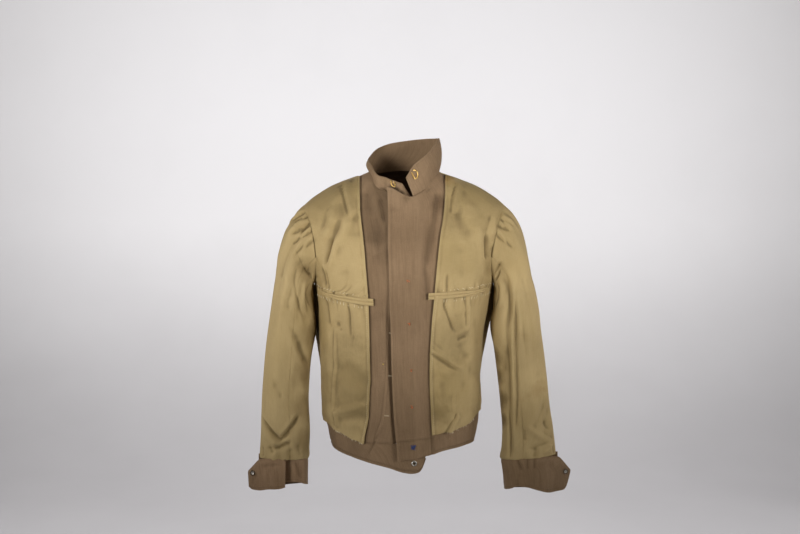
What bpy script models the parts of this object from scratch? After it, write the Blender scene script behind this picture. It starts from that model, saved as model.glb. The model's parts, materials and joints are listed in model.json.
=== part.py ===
"""Waist-length jacket turned inside out: khaki lining, wool facings, collar, cuffs and waistband.

Metres, +Z up, front towards -Y. The wearer's right is -X and carries the suffix _r.
Every body panel lies on one surface, torso(angle, level); sleeves, collar and cuffs have their own.
"""
from collections import namedtuple

import bpy
import numpy as np
from mathutils import Vector

LINING = 0.0016          # wall of the lining cloth
WOOL = 0.0022            # wall of the wool cloth
STRIP = 0.0012           # wall of the fly strip and the pocket welts
SEAM = 0.0003            # space between two pieces at a seam
FACING_SEAM = 0.0009     # space at the facings' seams, whose pieces have unlike rows
LAY = 0.0009             # space under a strip that lies on a panel
FACING_LIFT = -0.0008    # face of the facings, under the face of the lining
OVERLAP_LIFT = 0.0040    # face of the left facing where it laps over the right
EDGE_LIFT = 0.0050       # more lift of the overlap's free edge in its lower half
BAND_LIFT = -0.0031      # face of the waistband, under the lining hem
TAB_LIFT = -0.0048       # face of the waistband tab, under the left facing
BAND_TUCK = 0.020        # how far the waistband runs up behind the lining hem
FACING_FOOT = -0.547     # level where the right facing meets the waistband
SIDE_Y = 0.010           # side and shoulder seams, behind the origin
NECK_LEVEL = 0.019       # level of the neckline seam
FACING_TOP = 0.0165      # level of the facings' upper edge, under the collar
LAPEL_RISE = 0.017       # how far the overlap's corner rises past that edge
LAPEL_DIP = 0.003        # and how far it dips at the notch
ARM_LEVEL = -0.143       # middle of the armhole
ARM_RISE = 0.084         # half height of the armhole
ARM_SPREAD = np.radians(26.0)    # half spread of the armhole round the body
BUNCH_TOP = -0.240       # level, below the armhole, where the bunching under the arms starts
SHOULDER_LEVELS = (-0.045, -0.030, -0.013, 0.003)    # rows over the shoulder
NOTCH = 15.0             # degrees between matched points of armhole and sleeve
SLEEVE_FRONT_SEAM = 105.0
SLEEVE_BACK_SEAM = 255.0
WIRE = 0.0008            # radius of the hook and eye wire

KHAKI = (0.42, 0.31, 0.16)
BROWN = (0.23, 0.15, 0.085)
BRASS = (0.62, 0.43, 0.14)
STEEL = (0.50, 0.48, 0.44)

Ring = namedtuple("Ring", "level centre half_width front back drop rise flare")
TORSO = (
    Ring(-0.640, -0.003, 0.144, 0.106, 0.100, 0.008, 0.000, 0.000),
    Ring(-0.590, -0.003, 0.154, 0.112, 0.106, 0.009, 0.000, 0.000),
    Ring(-0.545, -0.003, 0.164, 0.114, 0.110, 0.009, 0.000, 0.000),
    Ring(-0.500, -0.006, 0.172, 0.120, 0.115, 0.008, 0.000, 0.003),
    Ring(-0.425, -0.008, 0.173, 0.126, 0.118, 0.006, 0.000, 0.007),
    Ring(-0.330, -0.006, 0.179, 0.131, 0.122, 0.003, 0.000, 0.020),
    Ring(-0.260, -0.001, 0.186, 0.133, 0.126, 0.002, 0.002, 0.026),
    Ring(-0.190, 0.000, 0.200, 0.130, 0.130, 0.008, 0.010, 0.000),
    Ring(-0.120, 0.000, 0.214, 0.118, 0.130, 0.025, 0.025, 0.000),
    Ring(-0.090, 0.000, 0.219, 0.108, 0.125, 0.036, 0.031, 0.000),
    Ring(-0.062, 0.000, 0.221, 0.098, 0.119, 0.044, 0.034, 0.000),
    Ring(-0.045, 0.000, 0.213, 0.093, 0.113, 0.048, 0.034, 0.000),
    Ring(-0.030, 0.000, 0.193, 0.089, 0.107, 0.052, 0.033, 0.000),
    Ring(-0.013, 0.000, 0.158, 0.084, 0.098, 0.055, 0.030, 0.000),
    Ring(0.004, 0.000, 0.116, 0.079, 0.083, 0.058, 0.023, 0.000),
    Ring(0.019, 0.000, 0.077, 0.075, 0.066, 0.061, 0.016, 0.000),
    Ring(0.045, 0.000, 0.060, 0.064, 0.056, 0.063, 0.016, 0.000),
)

FrontLine = namedtuple("FrontLine", "level facing_r fly edge facing_l")
FRONT = (
    FrontLine(-0.600, -0.086, -0.064, -0.011, 0.062),
    FrontLine(-0.545, -0.084, -0.062, -0.016, 0.060),
    FrontLine(-0.490, -0.075, -0.046, -0.021, 0.057),
    FrontLine(-0.400, -0.072, -0.038, -0.025, 0.054),
    FrontLine(-0.320, -0.073, -0.034, -0.027, 0.057),
    FrontLine(-0.240, -0.076, -0.032, -0.030, 0.064),
    FrontLine(-0.170, -0.081, -0.032, -0.032, 0.070),
    FrontLine(-0.090, -0.088, -0.032, -0.034, 0.077),
    FrontLine(-0.040, -0.093, -0.032, -0.034, 0.084),
    FrontLine(0.045, -0.098, -0.032, -0.034, 0.093),
)
UNDER_EDGE = 0.018       # x of the right front's edge, hidden behind the overlap
STRIP_EDGE = 0.004       # x of the fly strip's hidden edge
STRIP_TOP = -0.250

Foot = namedtuple("Foot", "angle hem band")
FEET = (
    Foot(-180.0, -0.537, -0.577),
    Foot(-135.0, -0.541, -0.576),
    Foot(-90.0, -0.543, -0.573),
    Foot(-68.0, -0.544, -0.578),
    Foot(-47.0, -0.544, -0.584),
    Foot(-30.0, -0.546, -0.590),
    Foot(-11.0, -0.546, -0.600),
    Foot(0.0, -0.546, -0.609),
    Foot(8.0, -0.540, -0.612),
    Foot(13.0, -0.535, -0.610),
    Foot(16.0, -0.533, -0.602),
    Foot(18.0, -0.532, -0.584),
    Foot(22.0, -0.531, -0.572),
    Foot(42.0, -0.525, -0.566),
    Foot(60.0, -0.513, -0.565),
    Foot(76.0, -0.498, -0.565),
    Foot(90.0, -0.496, -0.566),
    Foot(135.0, -0.522, -0.572),
    Foot(180.0, -0.537, -0.577),
)
TAB_END = 18.0

Pocket = namedtuple("Pocket", "angle line_r line_l")
POCKETS = (
    Pocket(0.0, -0.262, -0.250),
    Pocket(20.0, -0.260, -0.247),
    Pocket(45.0, -0.252, -0.242),
    Pocket(70.0, -0.240, -0.234),
    Pocket(90.0, -0.234, -0.232),
)
WELT_TALL = 0.015
WELT_INNER_X = {-1: 0.061, 1: 0.049}
WELT_OUTER_X = {-1: 0.168, 1: 0.170}

Fold = namedtuple("Fold", "x0 z0 x1 z1 width height")
BODY_FOLDS = (
    Fold(-0.131, 0.000, -0.112, -0.082, 0.011, 0.0045),
    Fold(0.114, 0.000, 0.102, -0.082, 0.011, 0.0045),
    Fold(-0.130, -0.085, -0.168, -0.160, 0.012, -0.0040),
    Fold(0.172, -0.110, 0.176, -0.180, 0.012, -0.0040),
    Fold(-0.112, -0.270, -0.106, -0.345, 0.010, -0.0040),
    Fold(-0.160, -0.252, -0.156, -0.320, 0.012, -0.0040),
    Fold(0.130, -0.262, 0.132, -0.330, 0.010, 0.0040),
    Fold(0.086, -0.265, 0.106, -0.320, 0.012, -0.0040),
    Fold(0.060, -0.350, 0.098, -0.405, 0.012, -0.0040),
    Fold(-0.145, -0.330, -0.142, -0.520, 0.010, -0.0030),
    Fold(0.150, -0.430, 0.160, -0.490, 0.018, 0.0050),
)

Section = namedtuple("Section", "outer_x outer_z inner_x inner_z centre_y half_depth")
SLEEVE_R = (
    Section(0.276, -0.195, 0.196, -0.252, 0.005, 0.066),
    Section(0.286, -0.260, 0.199, -0.302, 0.005, 0.064),
    Section(0.300, -0.370, 0.202, -0.382, 0.000, 0.058),
    Section(0.307, -0.467, 0.206, -0.469, -0.005, 0.050),
    Section(0.308, -0.540, 0.2035, -0.543, -0.008, 0.044),
    Section(0.311, -0.596, 0.205, -0.598, -0.010, 0.038),
)
SLEEVE_L = (
    Section(0.274, -0.195, 0.194, -0.252, 0.005, 0.066),
    Section(0.2886, -0.260, 0.196, -0.302, 0.005, 0.064),
    Section(0.302, -0.365, 0.199, -0.380, 0.000, 0.058),
    Section(0.313, -0.470, 0.2075, -0.475, -0.005, 0.050),
    Section(0.323, -0.540, 0.211, -0.545, -0.008, 0.044),
    Section(0.328, -0.590, 0.208, -0.600, -0.010, 0.038),
)
SLEEVE_ROWS = (0.0, 0.25, 0.5, 0.75, 1.0, 1.35, 1.7, 2.0, 2.35, 2.7, 3.0, 3.35, 3.7,
               4.0, 4.35, 4.7, 5.0, 5.3, 5.6, 5.8, 6.0)
SLEEVE_STEP = 0.075      # cloth between two rows of the sleeve tables
SLEEVE_GIRTH = 0.052     # cloth to a radian round the sleeve

Crease = namedtuple("Crease", "turn0 row0 turn1 row1 width height")
CREASES_R = (
    Crease(150.0, 0.7, 130.0, 2.2, 0.014, -0.0060),
    Crease(31.0, 4.65, 82.0, 5.25, 0.012, -0.0055),
    Crease(82.0, 5.25, 130.0, 4.5, 0.012, -0.0055),
    Crease(70.0, 5.6, 106.0, 5.35, 0.010, -0.0045),
    Crease(120.0, 2.7, 140.0, 3.2, 0.012, -0.0050),
    Crease(-40.0, 2.6, -100.0, 3.1, 0.014, -0.0050),
    Crease(-30.0, 5.4, -110.0, 5.2, 0.014, -0.0050),
)
CREASES_L = (
    Crease(120.0, 0.6, 105.0, 2.6, 0.012, -0.0060),
    Crease(95.0, 0.6, 88.0, 2.4, 0.010, 0.0045),
    Crease(20.0, 4.2, 55.0, 4.9, 0.015, -0.0050),
    Crease(130.0, 2.8, 150.0, 3.4, 0.012, -0.0050),
    Crease(-40.0, 2.7, -100.0, 3.2, 0.014, -0.0050),
    Crease(-30.0, 5.3, -110.0, 5.1, 0.014, -0.0050),
)

Stand = namedtuple("Stand", "angle height lean advance inset")
COLLAR = (
    Stand(-346.0, 0.037, 0.002, 0.016, 0.000),
    Stand(-338.0, 0.062, 0.001, 0.007, 0.000),
    Stand(-325.0, 0.068, 0.000, 0.000, 0.000),
    Stand(-305.0, 0.068, -0.001, 0.000, 0.000),
    Stand(-280.0, 0.072, -0.001, 0.000, 0.000),
    Stand(-255.0, 0.073, -0.001, 0.000, 0.000),
    Stand(-230.0, 0.070, 0.000, 0.000, 0.000),
    Stand(-205.0, 0.064, 0.002, 0.000, 0.000),
    Stand(-180.0, 0.058, 0.003, 0.000, 0.000),
    Stand(-155.0, 0.054, 0.001, 0.000, 0.000),
    Stand(-125.0, 0.047, -0.003, 0.000, 0.000),
    Stand(-100.0, 0.034, -0.001, 0.000, 0.000),
    Stand(-75.0, 0.024, 0.002, 0.000, 0.000),
    Stand(-50.0, 0.021, 0.002, 0.000, 0.002),
    Stand(-30.0, 0.026, -0.001, 0.000, 0.006),
    Stand(-14.0, 0.026, -0.005, 0.000, 0.007),
)
COLLAR_ROLL = 0.006      # the standing collar's bow outwards, half way up

Turn = namedtuple("Turn", "x y top bottom shear")
CUFF_R = (
    Turn(-0.318, 0.020, -0.5970, -0.668, 0.000),
    Turn(-0.290, 0.026, -0.5970, -0.668, 0.000),
    Turn(-0.250, 0.027, -0.5978, -0.665, 0.000),
    Turn(-0.216, 0.016, -0.5985, -0.660, 0.000),
    Turn(-0.206, -0.009, -0.5985, -0.658, -0.002),
    Turn(-0.215, -0.032, -0.5985, -0.652, -0.002),
    Turn(-0.236, -0.034, -0.5985, -0.648, 0.000),
    Turn(-0.256, -0.024, -0.5980, -0.652, 0.000),
    Turn(-0.258, -0.036, -0.5980, -0.655, 0.002),
    Turn(-0.251, -0.046, -0.5980, -0.657, -0.002),
    Turn(-0.266, -0.049, -0.5976, -0.661, 0.000),
    Turn(-0.290, -0.047, -0.5970, -0.662, 0.000),
    Turn(-0.308, -0.042, -0.5990, -0.665, 0.000),
    Turn(-0.322, -0.038, -0.6120, -0.664, 0.000),
    Turn(-0.334, -0.033, -0.6250, -0.658, 0.002),
)
CUFF_L = (
    Turn(0.336, 0.018, -0.5920, -0.668, 0.000),
    Turn(0.300, 0.026, -0.5935, -0.672, 0.000),
    Turn(0.250, 0.027, -0.5972, -0.672, 0.000),
    Turn(0.214, 0.012, -0.6003, -0.671, 0.004),
    Turn(0.208, -0.012, -0.6006, -0.668, 0.010),
    Turn(0.222, -0.034, -0.5996, -0.663, 0.005),
    Turn(0.243, -0.044, -0.5980, -0.656, 0.002),
    Turn(0.262, -0.047, -0.5964, -0.658, 0.000),
    Turn(0.285, -0.048, -0.5944, -0.664, 0.000),
    Turn(0.308, -0.045, -0.5926, -0.669, 0.000),
    Turn(0.328, -0.041, -0.5930, -0.666, 0.000),
    Turn(0.344, -0.037, -0.6070, -0.664, -0.004),
    Turn(0.357, -0.032, -0.6230, -0.656, -0.009),
)
CUFF_STEP = 0.006        # cloth between two cuff columns
CUFF_SNAP_IN = 0.012     # the cuff snap, in from the tab's tip
CUFF_SNAP_DOWN = 0.30    # and down from its top edge, as a share of its height

Spot = namedtuple("Spot", "along across")
HOOK_R = (
    Spot(-24.0, 0.95), Spot(-22.0, 0.60), Spot(-17.5, 0.55), Spot(-16.5, 0.80), Spot(-19.5, 0.86),
)
HOOK_L = (
    Spot(-343.0, 0.95), Spot(-340.0, 0.62), Spot(-337.5, 0.62), Spot(-337.0, 0.70), Spot(-338.5, 0.82),
    Spot(-340.5, 0.93),
)
Stud = namedtuple("Stud", "radius height")
SNAP = (Stud(0.0058, 0.0004), Stud(0.0050, 0.0014), Stud(0.0040, 0.0016), Stud(0.0030, 0.0011),
        Stud(0.0026, 0.0004))
SNAP_STEPS = 20


def column(table, name):
    """One named column of a table."""
    return np.array([getattr(row, name) for row in table], dtype=float)


def smooth(knots, values, at):
    """A column between its rows: a cubic through the rows that never overshoots them."""
    at = np.asarray(at, dtype=float)
    step = np.diff(knots)
    slope = np.diff(values) / step
    flat = slope[:-1] * slope[1:] <= 0.0
    near = np.where(slope[:-1] == 0.0, 1.0, slope[:-1])
    far = np.where(slope[1:] == 0.0, 1.0, slope[1:])
    first = 2.0 * step[1:] + step[:-1]
    second = step[1:] + 2.0 * step[:-1]
    middle = np.where(flat, 0.0, (first + second) / (first / near + second / far))
    tangent = np.concatenate([slope[:1], middle, slope[-1:]])
    i = np.clip(np.searchsorted(knots, at, side="right") - 1, 0, len(step) - 1)
    t = (at - knots[i]) / step[i]
    rise = values[i + 1] - values[i]
    lead = step[i] * tangent[i]
    trail = step[i] * tangent[i + 1]
    return values[i] + t * (lead + t * (3.0 * rise - 2.0 * lead - trail + t * (lead + trail - 2.0 * rise)))


def lookup(table, knot, name, at):
    """Column `name` of a table at places `at` of its column `knot`."""
    return smooth(column(table, knot), column(table, name), at)


def ease(value):
    """0 to 1 with level ends."""
    value = np.clip(value, 0.0, 1.0)
    return value * value * (3.0 - 2.0 * value)


def crease(u, v, u0, v0, u1, v1, width, height):
    """A rounded trough or ridge along the line from (u0, v0) to (u1, v1), fading at its ends."""
    du, dv = u1 - u0, v1 - v0
    along = ((u - u0) * du + (v - v0) * dv) / (du * du + dv * dv)
    across = ((u - u0) * dv - (v - v0) * du) / np.hypot(du, dv)
    fade = ease((along + 0.15) / 0.3) * ease((1.15 - along) / 0.3)
    return height * fade * np.exp(-(across / width) ** 2)


def normals(surface, u, v, du, dv):
    """Unit normals of surface(u, v) from its slopes both ways."""
    normal = np.cross(surface(u + du, v) - surface(u - du, v), surface(u, v + dv) - surface(u, v - dv))
    return normal / np.linalg.norm(normal, axis=-1, keepdims=True)


def plain_torso(angle, level):
    """The worn form without folds: rings that tip down in front and up behind, and bunch out under the arms."""
    ahead = np.clip(np.cos(angle), 0.0, None)
    behind = np.clip(-np.cos(angle), 0.0, None)
    under_arm = ease((BUNCH_TOP - level) / 0.040) * ease(behind / 0.3) * ease((0.9 - behind) / 0.5)
    bunch = under_arm * lookup(TORSO, "level", "flare", level)
    half_width = lookup(TORSO, "level", "half_width", level) + bunch
    x = lookup(TORSO, "level", "centre", level) + half_width * np.sin(angle)
    y = SIDE_Y + lookup(TORSO, "level", "back", level) * behind - lookup(TORSO, "level", "front", level) * ahead
    z = level + lookup(TORSO, "level", "rise", level) * behind ** 2
    return np.stack([x, y, z - lookup(TORSO, "level", "drop", level) * ahead ** 2], axis=-1)


def torso_normals(surface, angle, level):
    return normals(surface, angle, level, 0.002, 0.0004)


def torso(angle, level):
    """The worn form with the main folds of the fronts."""
    place = plain_torso(angle, level)
    height = np.zeros(place.shape[:-1])
    for fold in BODY_FOLDS:
        height = height + crease(place[..., 0], place[..., 2], *fold)
    height = height * ease((SIDE_Y - place[..., 1]) / 0.03)
    return place + torso_normals(plain_torso, angle, level) * height[..., None]


def angle_at(x, level):
    """Angle of a front point x to the side of the middle."""
    off = x - lookup(TORSO, "level", "centre", level)
    return np.arcsin(np.clip(off / lookup(TORSO, "level", "half_width", level), -1.0, 1.0))


def front_line(name, level):
    """Angle of one of the fronts' upright lines."""
    return angle_at(lookup(FRONT, "level", name, level), level)


def foot(name, angle):
    """Level of the lining hem or the band's lower edge."""
    return lookup(FEET, "angle", name, np.degrees(angle))


def pocket_line(side, angle):
    """Level of the seam that the pocket welt covers."""
    name = "line_l" if side > 0 else "line_r"
    return lookup(POCKETS, "angle", name, np.abs(np.degrees(angle)))


def arm_edge(level):
    """How far the armhole is from the side seam, round the body."""
    high = np.clip((level - ARM_LEVEL) / ARM_RISE, -1.0, 1.0)
    return ARM_SPREAD * np.sqrt(1.0 - high * high)


def armhole(side, turn):
    """Armhole seam: turn 0 at the shoulder point, a quarter turn at the front edge."""
    level = ARM_LEVEL + ARM_RISE * np.cos(turn)
    angle = side * (np.pi / 2.0 - ARM_SPREAD * np.sin(turn))
    return angle, level


def sleeve(side, turn, row):
    """A sleeve: oval sections down the arm, joined to the armhole seam by a rounded cap."""
    table = SLEEVE_L if side > 0 else SLEEVE_R
    rows = np.arange(1.0, len(table) + 1.0)

    def section(place):
        outer_x, outer_z, inner_x, inner_z, centre_y, half_depth = (
            smooth(rows, column(table, name), place) for name in Section._fields)
        x = (outer_x + inner_x + (outer_x - inner_x) * np.cos(turn)) / 2.0
        z = (outer_z + inner_z + (outer_z - inner_z) * np.cos(turn)) / 2.0
        return np.stack([side * x, centre_y - half_depth * np.sin(turn), z], axis=-1)

    top = torso(*armhole(side, turn))
    first = section(np.ones_like(row))
    reach = np.linalg.norm(first - top, axis=-1, keepdims=True)
    leave = reach * np.array([side * 0.75, 0.0, -0.66])
    arrive = section(1.01 * np.ones_like(row)) - first
    arrive = arrive * reach / np.linalg.norm(arrive, axis=-1, keepdims=True)
    t = np.clip(row, -0.1, 1.0)[..., None]
    cap = top + t * (leave + t * (3.0 * (first - top) - 2.0 * leave - arrive
                                  + t * (leave + arrive - 2.0 * (first - top))))
    return np.where(row[..., None] < 1.0, cap, section(np.maximum(row, 1.0)))


def creased_sleeve(side, turn, row):
    """A sleeve with its main creases."""
    place = sleeve(side, turn, row)
    height = np.zeros(place.shape[:-1])
    around = (turn + np.pi) % (2.0 * np.pi) - np.pi
    for fold in CREASES_L if side > 0 else CREASES_R:
        height = height + crease(SLEEVE_GIRTH * around, SLEEVE_STEP * row,
                                 SLEEVE_GIRTH * np.radians(fold.turn0), SLEEVE_STEP * fold.row0,
                                 SLEEVE_GIRTH * np.radians(fold.turn1), SLEEVE_STEP * fold.row1,
                                 fold.width, fold.height)
    normal = side * normals(lambda a, b: sleeve(side, a, b), turn, row, 0.002, 0.004)
    return place + normal * (height * ease(row / 0.4))[..., None]


def collar(angle, up):
    """The standing collar: from the neckline seam to its top edge."""
    turn = np.radians(angle)
    level = np.full_like(turn, NECK_LEVEL)
    ahead = np.clip(np.cos(turn), 0.0, None)
    foot_place = plain_torso(turn, level)
    outward = np.stack([np.sin(turn), -np.cos(turn), np.zeros_like(turn)], axis=-1)
    forward = np.stack([-np.cos(turn), -np.sin(turn), np.zeros_like(turn)], axis=-1)
    height, lean, advance, inset = (lookup(COLLAR, "angle", name, angle) for name in Stand._fields[1:])
    bow = lean * up - inset + COLLAR_ROLL * np.sin(np.pi * np.clip(up, 0.0, 1.0)) * (1.0 - ahead)
    place = foot_place + outward * bow[..., None] + forward * (advance * up)[..., None]
    place[..., 2] += SEAM + height * up
    return place


def cuff_ways(table):
    """Distance of each cuff row along the strip."""
    return np.concatenate([[0.0], np.cumsum(np.hypot(np.diff(column(table, "x")), np.diff(column(table, "y"))))])


def cuff_length(table):
    return cuff_ways(table)[-1]


def cuff(table, along, down):
    """A cuff strip: along its path round the wrist, down from its top edge."""
    ways = cuff_ways(table)
    x, y, top, bottom, shear = (smooth(ways, column(table, name), along) for name in Turn._fields)
    return np.stack([x + shear * down, y, top + (bottom - top) * down], axis=-1)


def material(name, colour, metal, rough):
    """A plain surface for one kind of stuff."""
    stuff = bpy.data.materials.new(name)
    stuff.use_nodes = True
    shader = stuff.node_tree.nodes["Principled BSDF"]
    shader.inputs["Base Color"].default_value = (*colour, 1.0)
    shader.inputs["Metallic"].default_value = metal
    shader.inputs["Roughness"].default_value = rough
    return stuff


def place_object(name, data, stuff):
    """One sub-part in the jacket's collection, with its own material."""
    data.materials.append(stuff.copy())
    piece = bpy.data.objects.new(name, data)
    jacket.objects.link(piece)
    return piece


def wall(name, outer, inner, stuff, side=1):
    """A cloth wall between two grids of points, closed all round by its cut edges."""
    rows, columns = outer.shape[:2]
    index = np.arange(rows * columns).reshape(rows, columns)
    sheet = np.stack([index[:-1, :-1], index[:-1, 1:], index[1:, 1:], index[1:, :-1]], axis=-1).reshape(-1, 4)
    edge = np.concatenate([index[0, :-1], index[:-1, -1], index[-1, :0:-1], index[:0:-1, 0]])
    after = np.roll(edge, -1)
    deep = rows * columns
    rim = np.stack([after, edge, edge + deep, after + deep], axis=-1)
    faces = np.concatenate([sheet, sheet[:, ::-1] + deep, rim])
    if side < 0:
        faces = faces[:, ::-1]
    mesh = bpy.data.meshes.new(name)
    points = np.concatenate([outer.reshape(-1, 3), inner.reshape(-1, 3)])
    mesh.from_pydata(points.tolist(), [], faces.tolist())
    return place_object(name, mesh, stuff)


def body_panel(name, angle, level, lift, thickness, stuff):
    """A cloth wall on the torso, its face `lift` off the worn form."""
    place = torso(angle, level)
    normal = torso_normals(torso, angle, level)
    lift = np.broadcast_to(lift, angle.shape)[..., None]
    return wall(name, place + normal * lift, place + normal * (lift - thickness), stuff)


def seam_turn(level):
    """Half a seam's space, as an angle at the side and shoulder seams."""
    return SEAM / 2.0 / lookup(TORSO, "level", "front", level)


def notch_levels():
    """Levels of the matched points of the armhole, armpit to shoulder point."""
    turns = np.radians(np.arange(180.0, -1.0, -NOTCH))
    return ARM_LEVEL + ARM_RISE * np.cos(turns)


def spread(start, end, count):
    """Columns from one edge to the other: arrays of both edges, row by row."""
    share = np.linspace(0.0, 1.0, count)
    return start[:, None] + (end - start)[:, None] * share[None, :]


def shoulder_top(side):
    """Level where the facing's seam runs into the shoulder seam."""
    level = np.linspace(SHOULDER_LEVELS[-1], NECK_LEVEL, 200)
    facing = np.abs(lookup(FRONT, "level", "facing_l" if side > 0 else "facing_r", level))
    return level[np.argmin(np.abs(lookup(TORSO, "level", "half_width", level) - facing - 0.003))]


def front_upper(side):
    """Shoulder and chest of one front, from the pocket seam to the shoulder seam."""
    rows = np.concatenate([[-0.236], notch_levels(), SHOULDER_LEVELS, [shoulder_top(side)]])
    facing = front_line("facing_l" if side > 0 else "facing_r", rows)
    gap = SEAM / 2.0 / lookup(TORSO, "level", "half_width", rows)
    outer = side * (np.pi / 2.0 - arm_edge(rows) - seam_turn(rows))
    start, end = (facing + gap, outer) if side > 0 else (outer, facing - gap)
    angle = spread(start, end, 9)
    level = np.repeat(rows[:, None], angle.shape[1], axis=1)
    level[0] = pocket_line(side, angle[0]) + SEAM / 2.0
    return body_panel("front_upper_" + suffix(side), angle, level, 0.0, LINING, lining)


def edges_of_lower(side, level):
    """Both upright edges of a lower front, left to right as seen from the front."""
    facing = front_line("facing_l" if side > 0 else "facing_r", level)
    gap = SEAM / 2.0 / lookup(TORSO, "level", "half_width", level)
    outer = side * (np.pi / 2.0 - seam_turn(level))
    return (facing + gap, outer) if side > 0 else (outer, facing - gap)


def front_lower(side):
    """One front below the pocket seam, down over the top of the waistband."""
    share = np.concatenate([[0.0], np.linspace(0.07, 1.0, 10)])
    angle = spread(*edges_of_lower(side, -0.540 + 0.295 * share), 9)
    for _ in range(3):
        low = foot("hem", angle[0])
        high = pocket_line(side, angle[-1]) - SEAM / 2.0
        level = low[None, :] + (high - low)[None, :] * share[:, None]
        start, end = edges_of_lower(side, level)
        angle = start + (end - start) * np.linspace(0.0, 1.0, 9)[None, :]
    return body_panel("front_lower_" + suffix(side), angle, level, 0.0, LINING, lining)


def back_panel():
    """The back from side seam to side seam, with the armholes cut out and the neckline at its top."""
    body = np.concatenate([[-0.540], np.linspace(-0.519, -0.236, 8)])
    rows = np.concatenate([body, notch_levels(), SHOULDER_LEVELS, [0.011, NECK_LEVEL]])
    edge = np.pi / 2.0 + arm_edge(rows) + seam_turn(rows)
    angle = spread(edge, 2.0 * np.pi - edge, 17)
    level = np.repeat(rows[:, None], angle.shape[1], axis=1)
    turned = (angle + np.pi) % (2.0 * np.pi) - np.pi
    share = np.clip((body + 0.540) / (0.540 - 0.236), 0.0, 1.0)[:, None]
    level[:9] += (1.0 - share) * (foot("hem", turned[:9]) + 0.540)
    return body_panel("back_lining", angle, level, 0.0, LINING, lining)


def right_facing():
    """The wearer's right facing, from its lining seam to its edge behind the overlap."""
    rows = np.concatenate([np.linspace(FACING_FOOT, -0.060, 18), SHOULDER_LEVELS, [0.011, FACING_TOP]])
    gap = FACING_SEAM / lookup(TORSO, "level", "half_width", rows)
    start = np.maximum(front_line("facing_r", rows) + gap, seam_turn(rows) - np.pi / 2.0)
    angle = spread(start, angle_at(UNDER_EDGE * np.ones_like(rows), rows), 6)
    level = np.repeat(rows[:, None], angle.shape[1], axis=1)
    return body_panel("facing_r", angle, level, FACING_LIFT, WOOL, wool)


def left_facing():
    """The wearer's left facing: flush at its lining seam, lifted over the right front, edge standing off."""
    rows = np.concatenate([np.linspace(-0.572, -0.060, 20), SHOULDER_LEVELS, [0.011, FACING_TOP]])
    gap = FACING_SEAM / lookup(TORSO, "level", "half_width", rows)
    end = np.minimum(front_line("facing_l", rows) - gap, np.pi / 2.0 - seam_turn(rows))
    angle = spread(front_line("edge", rows), end, 8)
    level = np.repeat(rows[:, None], angle.shape[1], axis=1)
    inner = np.linspace(1.0, 0.0, 8)[None, :]
    level[0] -= 0.011 * inner[0]
    x = lookup(TORSO, "level", "half_width", level) * np.sin(angle)
    level[-1] += LAPEL_RISE * ease((0.014 - x[-1]) / 0.046) - LAPEL_DIP * ease((0.060 - x[-1]) / 0.020)
    over = ease((0.052 - x) / 0.026)
    loose = ease((-0.200 - level) / 0.15) * ease((0.004 - x) / 0.030)
    lift = FACING_LIFT + (OVERLAP_LIFT - FACING_LIFT) * over + EDGE_LIFT * loose
    return body_panel("facing_l", angle, level, lift, WOOL, wool)


def fly():
    """The button fly strip, lying on the right facing."""
    rows = np.linspace(FACING_FOOT + 0.004, STRIP_TOP, 14)
    angle = spread(front_line("fly", rows), angle_at(STRIP_EDGE * np.ones_like(rows), rows), 3)
    level = np.repeat(rows[:, None], angle.shape[1], axis=1)
    return body_panel("fly_strip", angle, level, FACING_LIFT + LAY + STRIP, STRIP, wool)


def welt(side):
    """A pocket welt, lying along the pocket seam and over the edge of the facing."""
    ends = [WELT_INNER_X[side], WELT_OUTER_X[side]]
    angle = angle_at(np.linspace(*ends, 12), -0.25 * np.ones(12))
    if side < 0:
        angle = -angle[::-1]
    tall = WELT_TALL * (0.55 + 0.45 * ease((1.05 - np.abs(angle)) / 0.5))
    level = pocket_line(side, angle)[None, :] + tall[None, :] * np.linspace(-0.5, 0.5, 3)[:, None]
    angle = np.repeat(angle[None, :], 3, axis=0)
    return body_panel("welt_" + suffix(side), angle, level, LAY + STRIP, STRIP, lining)


def band(name, columns):
    """A length of waistband, from behind the lining hem to its lower edge."""
    angle = np.radians(columns)
    turned = (angle + np.pi) % (2.0 * np.pi) - np.pi
    bare = ease((turned + np.radians(38.0)) / np.radians(6.5)) * (turned < np.radians(20.0))
    high = foot("hem", turned) + BAND_TUCK
    high = high + bare * (FACING_FOOT - FACING_SEAM - high)
    low = foot("band", turned)
    hem = np.minimum(foot("hem", turned), high - 0.004)
    level = np.stack([low, (low + hem) / 2.0, hem, high])
    under = ease((turned + np.radians(28.0)) / np.radians(18.0)) * (turned < np.radians(20.0))
    lift = BAND_LIFT + (TAB_LIFT - BAND_LIFT) * under
    angle = np.repeat(angle[None, :], 4, axis=0)
    if name == "waistband_l":
        start = front_line("facing_l", level) + FACING_SEAM / lookup(TORSO, "level", "half_width", level)
        angle = start + (angle[:, -1:] - start) * np.linspace(0.0, 1.0, len(columns))[None, :]
    return body_panel(name, angle, level, lift[None, :], WOOL, wool)


def sleeve_piece(name, side, first, last):
    """One piece of a two-piece sleeve between two of its lengthwise seams."""
    turns = np.radians(np.arange(first, last + 1.0, NOTCH))
    turn, row = np.meshgrid(turns, np.array(SLEEVE_ROWS))
    half_gap = SEAM / SLEEVE_GIRTH
    turn[:, 0] += half_gap
    turn[:, -1] -= half_gap
    row[0] = 0.006
    place = creased_sleeve(side, turn, row)
    own = side * normals(lambda a, b: creased_sleeve(side, a, b), turn, row, 0.002, 0.004)
    body = torso_normals(torso, *armhole(side, turn))
    share = np.clip(1.5 * np.cos(turn), 0.0, 1.0) * (1.0 - ease(row / 0.25))
    normal = own + share[..., None] * (body - own)
    normal = normal / np.linalg.norm(normal, axis=-1, keepdims=True)
    return wall(name, place, place - LINING * normal, lining, side)


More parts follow.
